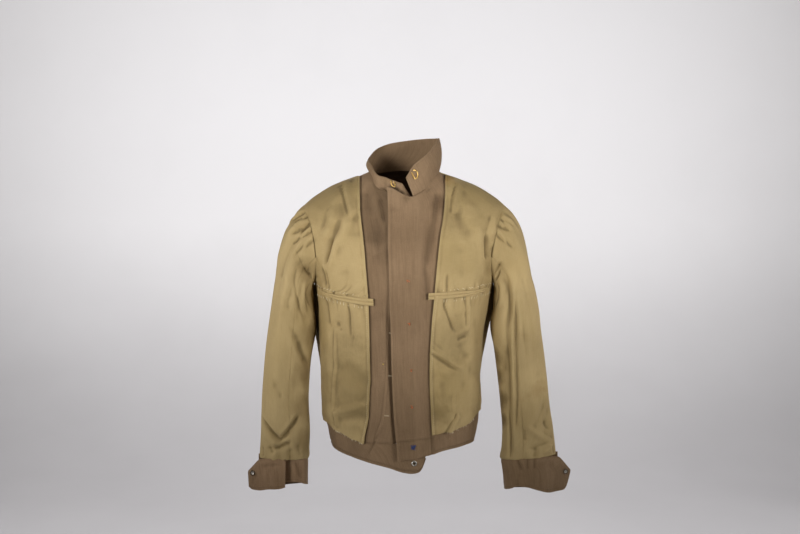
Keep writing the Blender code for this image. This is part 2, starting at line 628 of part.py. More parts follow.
def standing_collar():
    """The collar from its wearer's left end round the back to its right end."""
    angle, up = np.meshgrid(np.linspace(-346.0, -14.0, 32), np.linspace(0.0, 1.0, 5))
    place = collar(angle, up)
    normal = normals(collar, angle, up, 0.1, 0.01)
    return wall("collar", place, place - WOOL * normal, wool)


def cuff_strip(name, side, table):
    """An unfastened cuff: a strip round the wrist that ends in a free tab."""
    length = cuff_length(table)
    count = int(length / CUFF_STEP)
    along, down = np.meshgrid(np.linspace(0.0, length, count), np.linspace(0.0, 1.0, 4))
    place = cuff(table, along, down)
    normal = -side * normals(lambda a, b: cuff(table, a, b), along, down, 0.001, 0.01)
    return wall(name, place, place - WOOL * normal, wool, -side)


def wire(name, spots):
    """A hook or eye: wire laid on the collar's face and bent back on itself."""
    angle = column(spots, "along")
    up = column(spots, "across")
    normal = normals(collar, angle, up, 0.1, 0.01)
    points = collar(angle, up) + normal * (WIRE + SEAM)
    curve = bpy.data.curves.new(name, "CURVE")
    curve.dimensions = "3D"
    curve.bevel_depth = WIRE
    curve.bevel_resolution = 2
    curve.use_fill_caps = True
    line = curve.splines.new("POLY")
    line.points.add(len(points) - 1)
    for knot, point in zip(line.points, points):
        knot.co = (*point, 1.0)
    return place_object(name, curve, brass)


def snap(name, place, normal):
    """A snap fastener: a turned ring on the cloth's face."""
    mesh = bpy.data.meshes.new(name)
    profile = [(stud.radius, 0.0, stud.height) for stud in SNAP]
    foot_ring = [(SNAP[-1].radius, 0.0, 0.0), (SNAP[0].radius, 0.0, 0.0)]
    points = (profile + foot_ring)[::-1]
    mesh.from_pydata(points, [(i, (i + 1) % len(points)) for i in range(len(points))], [])
    piece = place_object(name, mesh, steel)
    turn = piece.modifiers.new("Turned", "SCREW")
    turn.steps = SNAP_STEPS
    turn.render_steps = SNAP_STEPS
    turn.use_merge_vertices = True
    turn.merge_threshold = 0.00005
    piece.location = Vector(place + normal * SEAM)
    piece.rotation_euler = Vector(normal).to_track_quat("Z", "Y").to_euler()
    return piece


def suffix(side):
    return "l" if side > 0 else "r"


for old in list(bpy.data.objects):
    bpy.data.objects.remove(old)

jacket = bpy.data.collections.new("ike_jacket")
bpy.context.scene.collection.children.link(jacket)

lining = material("khaki_lining", KHAKI, 0.0, 0.85)
wool = material("brown_wool", BROWN, 0.0, 0.95)
brass = material("brass_wire", BRASS, 1.0, 0.40)
steel = material("steel_snap", STEEL, 1.0, 0.45)

back_panel()
right_facing()
left_facing()
fly()
standing_collar()
band("waistband_r", np.concatenate([np.linspace(-89.9, -38.0, 8), np.linspace(-31.2, TAB_END, 9)]))
band("waistband_back", np.linspace(90.1, 269.9, 17))
band("waistband_l", np.linspace(22.0, 89.9, 9))
for hand in (-1, 1):
    front_upper(hand)
    front_lower(hand)
    welt(hand)
    sleeve_piece("sleeve_upper_" + suffix(hand), hand, -SLEEVE_FRONT_SEAM, SLEEVE_FRONT_SEAM)
    sleeve_piece("sleeve_under_" + suffix(hand), hand, SLEEVE_FRONT_SEAM, SLEEVE_BACK_SEAM)
cuff_strip("cuff_r", -1, CUFF_R)
cuff_strip("cuff_l", 1, CUFF_L)
wire("collar_hook_r", HOOK_R)
wire("collar_hook_l", HOOK_L)

for hand, table in ((-1, CUFF_R), (1, CUFF_L)):
    along = np.array([cuff_length(table) - CUFF_SNAP_IN])
    down = np.array([CUFF_SNAP_DOWN])
    face = -hand * normals(lambda a, b: cuff(table, a, b), along, down, 0.001, 0.01)
    snap("cuff_snap_" + suffix(hand), cuff(table, along, down)[0], face[0])
tab_angle, tab_level = np.array([np.radians(9.0)]), np.array([-0.589])
tab_normal = torso_normals(torso, tab_angle, tab_level)
snap("waistband_snap", (torso(tab_angle, tab_level) + TAB_LIFT * tab_normal)[0], tab_normal[0])
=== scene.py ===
"""Looks of a waist-length jacket turned inside out: khaki lining, wool facings, collar, cuffs and waistband.

Metres, +Z up, front towards -Y. The wearer's right is -X and carries the suffix _r.
Each cloth piece is a fine grid on the form of its solid, with folds, seams and puckers as relief.
"""
import json
from collections import namedtuple

import bpy
import numpy as np
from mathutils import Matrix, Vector

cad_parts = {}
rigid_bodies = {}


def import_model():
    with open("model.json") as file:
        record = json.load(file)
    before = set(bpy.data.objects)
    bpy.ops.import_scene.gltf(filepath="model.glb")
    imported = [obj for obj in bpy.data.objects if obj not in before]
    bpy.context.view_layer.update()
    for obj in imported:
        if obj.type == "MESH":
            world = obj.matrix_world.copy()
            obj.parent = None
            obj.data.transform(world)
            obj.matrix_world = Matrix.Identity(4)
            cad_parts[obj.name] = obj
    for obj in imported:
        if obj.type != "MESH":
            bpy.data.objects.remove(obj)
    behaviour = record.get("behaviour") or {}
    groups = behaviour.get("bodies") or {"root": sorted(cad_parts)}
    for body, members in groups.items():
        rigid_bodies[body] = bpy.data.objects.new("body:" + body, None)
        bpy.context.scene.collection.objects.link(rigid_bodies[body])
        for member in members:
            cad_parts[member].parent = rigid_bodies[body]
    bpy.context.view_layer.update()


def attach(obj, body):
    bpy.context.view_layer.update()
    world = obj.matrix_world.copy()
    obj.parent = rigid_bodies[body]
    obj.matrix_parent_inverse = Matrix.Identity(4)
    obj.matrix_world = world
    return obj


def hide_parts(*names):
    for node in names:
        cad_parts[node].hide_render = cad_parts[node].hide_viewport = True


def named_rows(kind, *rows):
    """Rows of plain numbers as rows with named values."""
    return tuple(kind(*row) for row in rows)


LINING = 0.0016          # wall of the lining cloth
WOOL = 0.0022            # wall of the wool cloth
STRIP = 0.0012           # wall of the fly strip and the pocket welts
SEAM = 0.0003            # space between two pieces at a seam
FACING_LIFT = -0.0008    # face of the facings, under the face of the lining
OVERLAP_LIFT = 0.0040    # face of the left facing where it laps over the right
EDGE_LIFT = 0.0050       # more lift of the overlap's free edge in its lower half
BAND_LIFT = -0.0031      # face of the waistband, under the lining hem
TAB_LIFT = -0.0048       # face of the waistband tab, under the left facing
BAND_TUCK = 0.020        # how far the waistband runs up behind the lining hem
FACING_FOOT = -0.547     # level where the right facing meets the waistband
SIDE_Y = 0.010           # side and shoulder seams, behind the origin
NECK_LEVEL = 0.019       # level of the neckline seam
FACING_TOP = 0.0187      # level of the facings' upper edge, at the collar's foot
ARM_LEVEL = -0.143       # middle of the armhole
ARM_RISE = 0.084         # half height of the armhole
ARM_SPREAD = np.radians(26.0)    # half spread of the armhole round the body
ARM_SQUARE = 5.0         # how square the upper front of the armhole is; 2 would be round
BUNCH_TOP = -0.200       # level, near the armhole's foot, where the bunching under the arms starts
SHOULDER_HEAD = 0.003    # level below the meeting of shoulder seam and facing seam
SLEEVE_FRONT_SEAM = 105.0    # degrees round the sleeve
SLEEVE_BACK_SEAM = 255.0
WIRE = 0.0008            # radius of the hook and eye wire

# The worn form, ring by ring: middle, half width and depths, then tips and bunching under the arms
Ring = namedtuple("Ring", "level centre half_width front back drop rise flare")
TORSO = named_rows(
    Ring,
    (-0.64, -0.003, 0.144, 0.106, 0.1, 0.008, 0.0, 0.0),
    (-0.59, -0.003, 0.154, 0.112, 0.106, 0.009, 0.0, 0.0),
    (-0.545, -0.003, 0.164, 0.114, 0.11, 0.009, 0.0, 0.0),
    (-0.5, -0.006, 0.172, 0.12, 0.115, 0.008, 0.0, 0.003),
    (-0.425, -0.008, 0.173, 0.126, 0.118, 0.006, 0.0, 0.007),
    (-0.33, -0.006, 0.179, 0.131, 0.122, 0.003, 0.0, 0.02),
    (-0.26, -0.001, 0.186, 0.133, 0.126, 0.002, 0.002, 0.026),
    (-0.19, 0.0, 0.2, 0.13, 0.13, 0.008, 0.01, 0.0),
    (-0.12, 0.0, 0.214, 0.118, 0.13, 0.025, 0.025, 0.0),
    (-0.09, 0.0, 0.219, 0.108, 0.125, 0.036, 0.031, 0.0),
    (-0.062, 0.0, 0.221, 0.098, 0.119, 0.044, 0.034, 0.0),
    (-0.045, 0.0, 0.2065, 0.093, 0.113, 0.048, 0.034, 0.0),
    (-0.03, 0.0, 0.186, 0.089, 0.107, 0.052, 0.033, 0.0),
    (-0.013, 0.0, 0.158, 0.084, 0.098, 0.055, 0.03, 0.0),
    (0.004, 0.0, 0.116, 0.079, 0.083, 0.058, 0.023, 0.0),
    (0.019, 0.0, 0.077, 0.075, 0.066, 0.061, 0.016, 0.0),
    (0.045, 0.0, 0.06, 0.064, 0.056, 0.063, 0.016, 0.0),
)

# x of the fronts' upright lines: facing seams, fly strip and the overlap's free edge
FrontLine = namedtuple("FrontLine", "level facing_r fly edge facing_l")
FRONT = named_rows(
    FrontLine,
    (-0.6, -0.086, -0.064, -0.011, 0.062), (-0.545, -0.084, -0.062, -0.016, 0.06),
    (-0.49, -0.075, -0.046, -0.021, 0.057), (-0.4, -0.072, -0.038, -0.025, 0.054),
    (-0.32, -0.073, -0.034, -0.027, 0.057), (-0.24, -0.076, -0.032, -0.03, 0.064),
    (-0.17, -0.081, -0.032, -0.032, 0.07), (-0.09, -0.088, -0.032, -0.034, 0.077),
    (-0.04, -0.093, -0.032, -0.034, 0.084), (0.045, -0.098, -0.032, -0.034, 0.093),
)
# Rise of the left facing's top corner, by x
Corner = namedtuple("Corner", "x rise")
LAPEL = (
    Corner(-0.042, 0.001), Corner(-0.034, 0.003), Corner(-0.024, 0.007), Corner(0.0, 0.004),
    Corner(0.017, -0.004), Corner(0.04, -0.002), Corner(0.06, 0.0), Corner(0.3, 0.0),
)
UNDER_EDGE = 0.018       # x of the right front's edge, hidden behind the overlap
STRIP_EDGE = 0.004       # x of the fly strip's hidden edge
STRIP_TOP = -0.250       # level of the fly strip's upper end

# Lower edges of lining and waistband, by degrees round from the middle of the front
Foot = namedtuple("Foot", "angle hem band")
FEET = named_rows(
    Foot,
    (-180.0, -0.537, -0.577), (-135.0, -0.541, -0.576),
    (-90.0, -0.522, -0.573), (-76.0, -0.517, -0.576),
    (-61.0, -0.528, -0.58), (-47.0, -0.54, -0.584),
    (-30.0, -0.549, -0.59), (-11.0, -0.546, -0.6),
    (0.0, -0.546, -0.609), (8.0, -0.54, -0.612),
    (13.0, -0.535, -0.61), (16.0, -0.533, -0.602),
    (18.0, -0.532, -0.584), (22.0, -0.531, -0.572),
    (42.0, -0.525, -0.566), (60.0, -0.513, -0.565),
    (76.0, -0.498, -0.565), (90.0, -0.496, -0.566),
    (135.0, -0.522, -0.572), (180.0, -0.537, -0.577),
)
TAB_END = 18.0           # degrees round to the end of the waistband tab

# Pocket seams, by degrees to the side of the middle
Pocket = namedtuple("Pocket", "angle line_r line_l")
POCKETS = named_rows(
    Pocket,
    (0.0, -0.262, -0.25), (20.0, -0.26, -0.247),
    (45.0, -0.252, -0.242), (70.0, -0.24, -0.234),
    (90.0, -0.234, -0.232),
)
WELT_TALL = 0.015        # height of a welt at its inner end
WELT_INNER_X = {-1: 0.061, 1: 0.049}
WELT_OUTER_X = {-1: 0.168, 1: 0.170}

# A fold from one point of x and z to another, with its half width; a height below zero is a trough
Fold = namedtuple("Fold", "x0 z0 x1 z1 width height")
BODY_FOLDS = named_rows(
    Fold,
    (-0.131, 0.0, -0.112, -0.082, 0.011, 0.0045), (0.114, 0.0, 0.102, -0.082, 0.011, 0.0045),
    (-0.13, -0.085, -0.168, -0.16, 0.012, -0.004), (0.172, -0.11, 0.176, -0.18, 0.012, -0.004),
    (-0.112, -0.27, -0.106, -0.345, 0.01, -0.004), (-0.16, -0.252, -0.156, -0.32, 0.012, -0.004),
    (0.13, -0.262, 0.132, -0.33, 0.01, 0.004), (0.086, -0.265, 0.106, -0.32, 0.012, -0.004),
    (0.06, -0.35, 0.098, -0.405, 0.012, -0.004), (-0.145, -0.33, -0.142, -0.52, 0.01, -0.003),
    (0.15, -0.43, 0.16, -0.49, 0.018, 0.005),
)

# A sleeve's oval sections: outer and inner edge, middle and half depth
Section = namedtuple("Section", "outer_x outer_z inner_x inner_z centre_y half_depth")
SLEEVE_R = named_rows(
    Section,
    (0.276, -0.195, 0.196, -0.252, 0.005, 0.066), (0.286, -0.26, 0.199, -0.302, 0.005, 0.064),
    (0.3, -0.37, 0.202, -0.382, 0.0, 0.058), (0.307, -0.467, 0.206, -0.469, -0.005, 0.05),
    (0.308, -0.54, 0.2035, -0.543, -0.008, 0.044), (0.311, -0.596, 0.205, -0.598, -0.01, 0.038),
)
SLEEVE_L = named_rows(
    Section,
    (0.274, -0.195, 0.194, -0.252, 0.005, 0.066), (0.2886, -0.26, 0.196, -0.302, 0.005, 0.064),
    (0.302, -0.365, 0.199, -0.38, 0.0, 0.058), (0.313, -0.47, 0.2075, -0.475, -0.005, 0.05),
    (0.323, -0.54, 0.211, -0.545, -0.008, 0.044), (0.328, -0.59, 0.208, -0.6, -0.01, 0.038),
)
SLEEVE_STEP = 0.075      # cloth between two rows of the sleeve tables
SLEEVE_GIRTH = 0.052     # cloth to a radian round the sleeve
SLEEVE_HANG = 0.009      # how far the cloth under the arm hangs in towards the body

# A sleeve's fold, from degrees round the arm and row to the same; 90 degrees is the middle of its front
Crease = namedtuple("Crease", "turn0 row0 turn1 row1 width height")
CREASES_R = named_rows(
    Crease,
    (150.0, 0.7, 130.0, 2.2, 0.014, -0.006), (31.0, 4.65, 82.0, 5.25, 0.012, -0.0055),
    (82.0, 5.25, 130.0, 4.5, 0.012, -0.0055), (70.0, 5.6, 106.0, 5.35, 0.01, -0.0045),
    (120.0, 2.7, 140.0, 3.2, 0.012, -0.005), (-40.0, 2.6, -100.0, 3.1, 0.014, -0.005),
    (-30.0, 5.4, -110.0, 5.2, 0.014, -0.005),
)
CREASES_L = named_rows(
    Crease,
    (120.0, 0.6, 105.0, 2.6, 0.012, -0.006), (95.0, 0.6, 88.0, 2.4, 0.01, 0.0045),
    (20.0, 4.2, 55.0, 4.9, 0.015, -0.005), (130.0, 2.8, 150.0, 3.4, 0.012, -0.005),
    (-40.0, 2.7, -100.0, 3.2, 0.014, -0.005), (-30.0, 5.3, -110.0, 5.1, 0.014, -0.005),
)

# The standing collar, by degrees round the neck: height, lean outwards, slant and set-in
Stand = namedtuple("Stand", "angle height lean advance inset")
COLLAR = named_rows(
    Stand,
    (-346.0, 0.037, 0.002, 0.016, 0.0), (-338.0, 0.062, 0.001, 0.007, 0.0),
    (-325.0, 0.068, 0.0, 0.0, 0.0), (-305.0, 0.068, -0.001, 0.0, 0.0),
    (-280.0, 0.072, -0.001, 0.0, 0.0), (-255.0, 0.073, -0.001, 0.0, 0.0),
    (-230.0, 0.07, 0.0, 0.0, 0.0), (-205.0, 0.064, 0.002, 0.0, 0.0),
    (-180.0, 0.058, 0.003, 0.0, 0.0), (-155.0, 0.054, 0.001, 0.0, 0.0),
    (-125.0, 0.047, -0.003, 0.0, 0.0), (-100.0, 0.034, -0.001, 0.0, 0.0),
    (-75.0, 0.024, 0.002, 0.0, 0.0), (-50.0, 0.021, 0.002, 0.0, 0.002),
    (-30.0, 0.026, -0.001, 0.0, 0.006), (-14.0, 0.03, -0.005, 0.0, 0.007),
    (-5.0, 0.03, -0.006, 0.0, 0.008), (4.0, 0.017, -0.006, 0.0, 0.009),
    (12.0, 0.002, -0.006, 0.0, 0.009),
)
COLLAR_ROLL = 0.006      # the standing collar's bow outwards, half way up

# A cuff's path round the wrist, with its upper and lower edge and their slant
Turn = namedtuple("Turn", "x y top bottom shear")
CUFF_R = named_rows(
    Turn,
    (-0.318, 0.02, -0.597, -0.668, 0.0), (-0.29, 0.026, -0.597, -0.668, 0.0),
    (-0.25, 0.027, -0.5978, -0.665, 0.0), (-0.216, 0.016, -0.5985, -0.66, 0.0),
    (-0.206, -0.009, -0.5985, -0.658, -0.002), (-0.215, -0.032, -0.5985, -0.652, -0.002),
    (-0.236, -0.034, -0.5985, -0.648, 0.0), (-0.256, -0.024, -0.598, -0.652, 0.0),
    (-0.258, -0.036, -0.598, -0.655, 0.002), (-0.251, -0.046, -0.598, -0.657, -0.002),
    (-0.266, -0.049, -0.5976, -0.661, 0.0), (-0.29, -0.047, -0.597, -0.662, 0.0),
    (-0.308, -0.042, -0.599, -0.665, 0.0), (-0.322, -0.038, -0.612, -0.664, 0.0),
    (-0.334, -0.033, -0.625, -0.658, 0.002),
)
CUFF_L = named_rows(
    Turn,
    (0.336, 0.018, -0.592, -0.668, 0.0), (0.3, 0.026, -0.5935, -0.672, 0.0),
    (0.25, 0.027, -0.5972, -0.672, 0.0), (0.214, 0.012, -0.6003, -0.671, 0.004),
    (0.208, -0.012, -0.6006, -0.668, 0.01), (0.222, -0.034, -0.5996, -0.663, 0.005),
    (0.243, -0.044, -0.598, -0.656, 0.002), (0.262, -0.047, -0.5964, -0.658, 0.0),
    (0.285, -0.048, -0.5944, -0.664, 0.0), (0.308, -0.045, -0.5926, -0.669, 0.0),
    (0.328, -0.041, -0.593, -0.666, 0.0), (0.344, -0.037, -0.607, -0.664, -0.004),
    (0.357, -0.032, -0.623, -0.656, -0.009),
)
CUFF_SNAP_IN = 0.012     # the cuff snap, in from the tab's tip
CUFF_SNAP_DOWN = 0.30    # and down from its top edge, as a share of its height

# A spot on the collar: degrees round it and share of its height
Spot = namedtuple("Spot", "along across")
HOOK_R = (
    Spot(-24.0, 0.95), Spot(-22.0, 0.60), Spot(-17.5, 0.55), Spot(-16.5, 0.80), Spot(-19.5, 0.86),
)
HOOK_L = (
    Spot(-342.0, 0.90), Spot(-340.0, 0.54), Spot(-337.5, 0.52), Spot(-336.5, 0.64), Spot(-338.5, 0.78),
    Spot(-340.5, 0.88),
)
# Profile of a snap, from its foot to its middle
Stud = namedtuple("Stud", "radius height")

FINE_FOLDS = named_rows(
    Fold,
    (-0.175, -0.189, -0.1654, -0.231, 0.004, -0.006), (-0.168, -0.195, -0.159, -0.236, 0.0036, -0.0046),
    (-0.1715, -0.188, -0.1625, -0.234, 0.003, 0.003), (-0.112, -0.075, -0.146, -0.15, 0.011, 0.0044),
    (-0.14, -0.095, -0.16, -0.14, 0.009, -0.004), (-0.15, -0.126, -0.165, -0.18, 0.004, -0.0085),
    (-0.14, -0.124, -0.156, -0.186, 0.006, 0.0046), (-0.112, -0.078, -0.098, -0.128, 0.014, -0.0036),
    (-0.14, -0.03, -0.16, -0.086, 0.014, 0.0036), (-0.158, -0.06, -0.176, -0.11, 0.008, -0.0034),
    (0.104, -0.062, 0.138, -0.132, 0.017, -0.0056), (0.12, -0.04, 0.156, -0.104, 0.015, 0.0034),
    (0.16, -0.112, 0.164, -0.176, 0.009, 0.0044), (0.176, -0.122, 0.178, -0.172, 0.0045, -0.008),
    (0.186, -0.08, 0.176, -0.116, 0.006, -0.0036), (0.196, -0.088, 0.188, -0.126, 0.005, 0.003),
    (0.14, -0.15, 0.15, -0.212, 0.016, 0.0036), (0.118, -0.14, 0.124, -0.214, 0.014, -0.003),
    (-0.095, -0.17, -0.092, -0.24, 0.022, 0.003), (-0.128, -0.19, -0.12, -0.24, 0.016, -0.0026),
    (0.09, -0.205, 0.088, -0.245, 0.0036, -0.003), (-0.112, -0.27, -0.107, -0.33, 0.0036, -0.0028),
    (-0.164, -0.256, -0.156, -0.312, 0.005, -0.003), (-0.145, -0.322, -0.126, -0.312, 0.005, 0.0022),
    (-0.142, -0.304, -0.13, -0.322, 0.006, -0.0038), (-0.145, -0.322, -0.151, -0.486, 0.0026, 0.0014),
    (-0.152, -0.392, -0.07, -0.43, 0.017, -0.0056), (-0.132, -0.436, -0.09, -0.456, 0.016, 0.005),
    (-0.15, -0.498, -0.084, -0.476, 0.01, 0.0052), (-0.136, -0.512, -0.078, -0.5, 0.012, -0.004),
    (-0.1, -0.34, -0.084, -0.372, 0.014, 0.0022), (0.132, -0.256, 0.132, -0.322, 0.0026, 0.0018),
    (0.09, -0.268, 0.107, -0.322, 0.0045, -0.0026), (0.1, -0.292, 0.132, -0.286, 0.008, -0.0018),
    (0.108, -0.33, 0.134, -0.318, 0.006, 0.0042), (0.11, -0.342, 0.132, -0.334, 0.005, -0.0034),
    (0.116, -0.346, 0.134, -0.384, 0.012, -0.0048), (0.06, -0.35, 0.112, -0.402, 0.005, 0.0022),
    (0.082, -0.41, 0.124, -0.398, 0.012, 0.0046), (0.074, -0.428, 0.102, -0.472, 0.017, -0.0046),
    (0.066, -0.47, 0.096, -0.51, 0.014, 0.0042), (0.106, -0.452, 0.101, -0.518, 0.003, 0.0018),
    (0.113, -0.498, 0.089, -0.54, 0.0034, 0.003), (0.126, -0.446, 0.144, -0.396, 0.012, -0.0036),
    (0.15, -0.3, 0.158, -0.36, 0.01, -0.003), (0.062, -0.052, 0.054, -0.25, 0.012, -0.0026),
    (-0.054, -0.026, -0.044, -0.14, 0.01, -0.0028), (-0.074, -0.03, -0.066, -0.1, 0.008, 0.0018),
    (0.03, -0.3, 0.034, -0.44, 0.018, 0.0014), (-0.0535, -0.536, -0.076, -0.58, 0.0024, -0.0022),
)
# A pressed pleat drawn downwards, with a gentle and a steep side
Pleat = namedtuple("Pleat", "x0 z0 x1 z1 gentle steep height")
PLEATS = named_rows(
    Pleat,
    (-0.131, -0.006, -0.1125, -0.081, 0.013, 0.0022, 0.0052),
    (0.1158, -0.014, 0.105, -0.044, 0.011, 0.0022, 0.0048),
    (0.105, -0.044, 0.103, -0.074, 0.009, 0.0022, 0.0036),
    (-0.1125, -0.266, -0.108, -0.33, 0.007, 0.002, 0.004),
    (-0.164, -0.252, -0.156, -0.309, 0.007, 0.0022, 0.004),
    (-0.1455, -0.32, -0.152, -0.486, 0.0036, 0.0018, 0.0016),
    (0.0868, -0.264, 0.1075, -0.32, 0.0075, 0.0022, 0.0038),
    (0.1314, -0.254, 0.1314, -0.31, 0.0045, 0.0018, 0.0026),
    (0.0556, -0.361, 0.1158, -0.403, 0.01, 0.0026, 0.0034),
    (0.1117, -0.5, 0.0888, -0.54, 0.006, 0.002, 0.0034),
    (-0.1477, -0.495, -0.1436, -0.527, 0.005, 0.0018, 0.0042),
)
FACING_R_FOLDS = named_rows(
    Fold,
    (-0.083, -0.02, -0.069, -0.072, 0.011, -0.0058), (-0.069, -0.072, -0.054, -0.15, 0.013, -0.0056),
    (-0.056, -0.038, -0.0415, -0.09, 0.009, -0.005), (-0.063, -0.03, -0.05, -0.09, 0.006, 0.0022),
    (-0.06, -0.36, -0.056, -0.52, 0.013, -0.002),
)
FACING_L_FOLDS = named_rows(
    Fold,
    (0.072, -0.02, 0.064, -0.09, 0.0065, -0.0056), (0.064, -0.09, 0.042, -0.19, 0.01, -0.005),
    (0.042, -0.19, 0.05, -0.25, 0.0075, -0.0036), (0.03, -0.01, 0.006, -0.07, 0.016, 0.0016),
    (0.02, -0.42, 0.026, -0.53, 0.014, 0.0016),
)
BACK_FOLDS = named_rows(
    Fold,
    (0.12, -0.085, 0.06, -0.2, 0.02, -0.0045), (-0.125, -0.1, -0.06, -0.235, 0.018, -0.0045),
    (-0.16, -0.15, -0.138, -0.3, 0.012, -0.004), (0.158, -0.14, 0.146, -0.31, 0.012, 0.004),
    (0.134, -0.19, 0.12, -0.29, 0.01, -0.0035), (-0.12, -0.2, -0.104, -0.33, 0.013, 0.0035),
    (0.02, -0.31, 0.03, -0.52, 0.016, -0.005), (-0.06, -0.35, -0.075, -0.53, 0.014, 0.0042),
    (-0.032, -0.42, -0.04, -0.535, 0.009, -0.0036), (0.09, -0.37, 0.1, -0.53, 0.013, -0.0045),
    (0.062, -0.44, 0.068, -0.535, 0.01, 0.0038), (-0.12, -0.41, -0.112, -0.53, 0.012, -0.0042),
    (0.14, -0.4, 0.136, -0.51, 0.011, 0.0036), (0.004, 0.01, 0.012, -0.11, 0.02, -0.003),
    (-0.07, -0.02, -0.1, -0.075, 0.014, 0.003), (0.076, -0.015, 0.108, -0.07, 0.014, -0.003),
    (-0.06, -0.27, 0.05, -0.285, 0.016, -0.0022),
)
FINE_CREASES_R = named_rows(
    Crease,
    (99.0, 0.47, 135.0, 0.31, 0.0036, -0.009), (110.0, 0.34, 130.0, 0.27, 0.0028, -0.0066),
    (66.0, 0.52, 97.0, 0.46, 0.007, -0.004), (88.0, 0.63, 125.0, 1.97, 0.0055, -0.0036),
    (72.0, 1.6, 86.0, 2.0, 0.009, -0.003), (24.0, 4.58, 82.0, 5.28, 0.0055, -0.006),
    (82.0, 5.28, 126.0, 4.55, 0.0055, -0.006), (30.0, 4.48, 82.0, 5.1, 0.006, 0.004),
    (82.0, 5.1, 118.0, 4.45, 0.006, 0.004), (40.0, 5.05, 84.0, 5.55, 0.007, 0.0034),
    (70.0, 5.62, 104.0, 5.34, 0.006, -0.004), (54.0, 5.52, 66.0, 5.8, 0.007, -0.0034),
    (106.0, 5.6, 108.0, 6.05, 0.006, -0.006), (126.0, 5.4, 132.0, 5.95, 0.008, -0.0034),
    (28.0, 5.55, 34.0, 6.0, 0.008, -0.003), (140.0, 0.5, 158.0, 1.5, 0.006, -0.0046),
    (124.0, 0.7, 138.0, 1.8, 0.006, 0.0036), (118.0, 0.9, 112.0, 2.2, 0.007, -0.003),
    (76.0, 0.5, 64.0, 2.3, 0.012, 0.0034), (92.0, 0.6, 84.0, 1.7, 0.008, -0.003),
    (46.0, 0.7, 40.0, 2.6, 0.014, -0.003), (100.0, 2.4, 160.0, 3.2, 0.007, -0.0044),
    (96.0, 2.62, 150.0, 3.4, 0.007, 0.0032), (64.0, 3.6, 86.0, 4.0, 0.01, -0.003),
    (54.0, 2.8, 74.0, 3.6, 0.014, 0.0028), (22.0, 3.3, 34.0, 4.4, 0.01, -0.0024),
    (118.0, 3.5, 108.0, 4.4, 0.014, -0.0034), (146.0, 3.7, 156.0, 4.8, 0.012, 0.003),
    (-30.0, 0.8, -40.0, 2.4, 0.014, -0.0036), (-60.0, 0.7, -56.0, 2.0, 0.01, 0.003),
    (-84.0, 1.2, -92.0, 2.7, 0.012, -0.0034), (-70.0, 3.6, -40.0, 4.6, 0.012, -0.0034),
    (-52.0, 4.9, -96.0, 5.4, 0.009, 0.0036), (-130.0, 3.1, -150.0, 3.9, 0.012, -0.0036),
)
FINE_CREASES_L = named_rows(
    Crease,
    (100.0, 0.34, 128.0, 0.16, 0.0036, -0.008), (112.0, 0.4, 140.0, 0.34, 0.0032, -0.006),
    (112.0, 1.2, 136.0, 4.4, 0.0055, -0.0036), (101.0, 1.5, 126.0, 4.6, 0.0042, 0.0036),
    (93.0, 1.5, 119.0, 4.6, 0.0038, -0.004), (90.0, 0.9, 80.0, 3.0, 0.007, -0.003),
    (68.0, 0.7, 60.0, 2.2, 0.012, -0.0026), (140.0, 0.5, 158.0, 1.4, 0.006, -0.0046),
    (128.0, 0.6, 138.0, 1.6, 0.006, 0.0036), (39.0, 4.05, 87.0, 4.97, 0.01, -0.004),
    (28.0, 3.4, 36.0, 4.1, 0.012, 0.0034), (60.0, 4.95, 18.0, 5.3, 0.009, -0.0034),
    (94.0, 4.75, 62.0, 5.22, 0.008, 0.0032), (46.0, 5.42, 92.0, 5.62, 0.008, -0.003),
    (30.0, 5.62, 60.0, 5.86, 0.006, 0.003), (78.0, 5.6, 82.0, 6.0, 0.007, -0.003),
    (26.0, 5.6, 22.0, 6.0, 0.007, -0.003), (62.0, 2.8, 50.0, 3.6, 0.016, -0.003),
    (36.0, 1.2, 28.0, 2.6, 0.012, 0.0028), (132.0, 3.0, 146.0, 4.2, 0.01, -0.0038),
    (124.0, 4.7, 120.0, 5.7, 0.007, 0.003), (138.0, 4.4, 134.0, 5.9, 0.004, -0.004),
    (103.0, 4.8, 100.0, 5.3, 0.006, -0.0036), (48.0, 4.6, 36.0, 4.95, 0.008, -0.0034),
    (-30.0, 0.9, -42.0, 2.2, 0.014, -0.0036), (-62.0, 0.7, -70.0, 2.3, 0.01, 0.003),
    (-88.0, 1.4, -84.0, 2.9, 0.012, -0.0034), (-60.0, 3.6, -34.0, 4.4, 0.012, -0.0034),
    (-46.0, 4.8, -94.0, 5.3, 0.009, 0.0036), (-130.0, 3.0, -148.0, 3.8, 0.012, -0.0036),
)
HEAD_GATHERS_R = named_rows(
    Crease,
    (13.0, 0.04, 2.0, 0.4, 0.005, -0.003), (21.0, 0.02, 9.0, 0.3, 0.0034, 0.0036),
    (27.0, 0.0, 15.0, 0.24, 0.0028, -0.0056), (31.0, 0.02, 35.0, 0.28, 0.0026, 0.0044),
    (37.0, 0.0, 24.0, 0.22, 0.0026, -0.006), (42.0, 0.04, 29.0, 0.4, 0.003, 0.005),
    (47.0, 0.0, 51.0, 0.24, 0.0026, -0.0056), (53.0, 0.02, 38.0, 0.36, 0.0028, -0.0056),
    (58.0, 0.0, 55.0, 0.3, 0.0028, 0.005), (64.0, 0.02, 50.0, 0.44, 0.003, -0.0056),
    (72.0, 0.0, 75.0, 0.32, 0.0032, 0.004), (80.0, 0.02, 68.0, 0.5, 0.0036, -0.004),
    (34.0, 0.3, 22.0, 0.9, 0.009, 0.003), (56.0, 0.36, 46.0, 1.1, 0.01, -0.0034),
    (-20.0, 0.03, -22.0, 0.4, 0.0046, -0.0024), (-38.0, 0.03, -30.0, 0.46, 0.0044, 0.0024),
    (-52.0, 0.03, -58.0, 0.38, 0.0042, -0.0026),
)
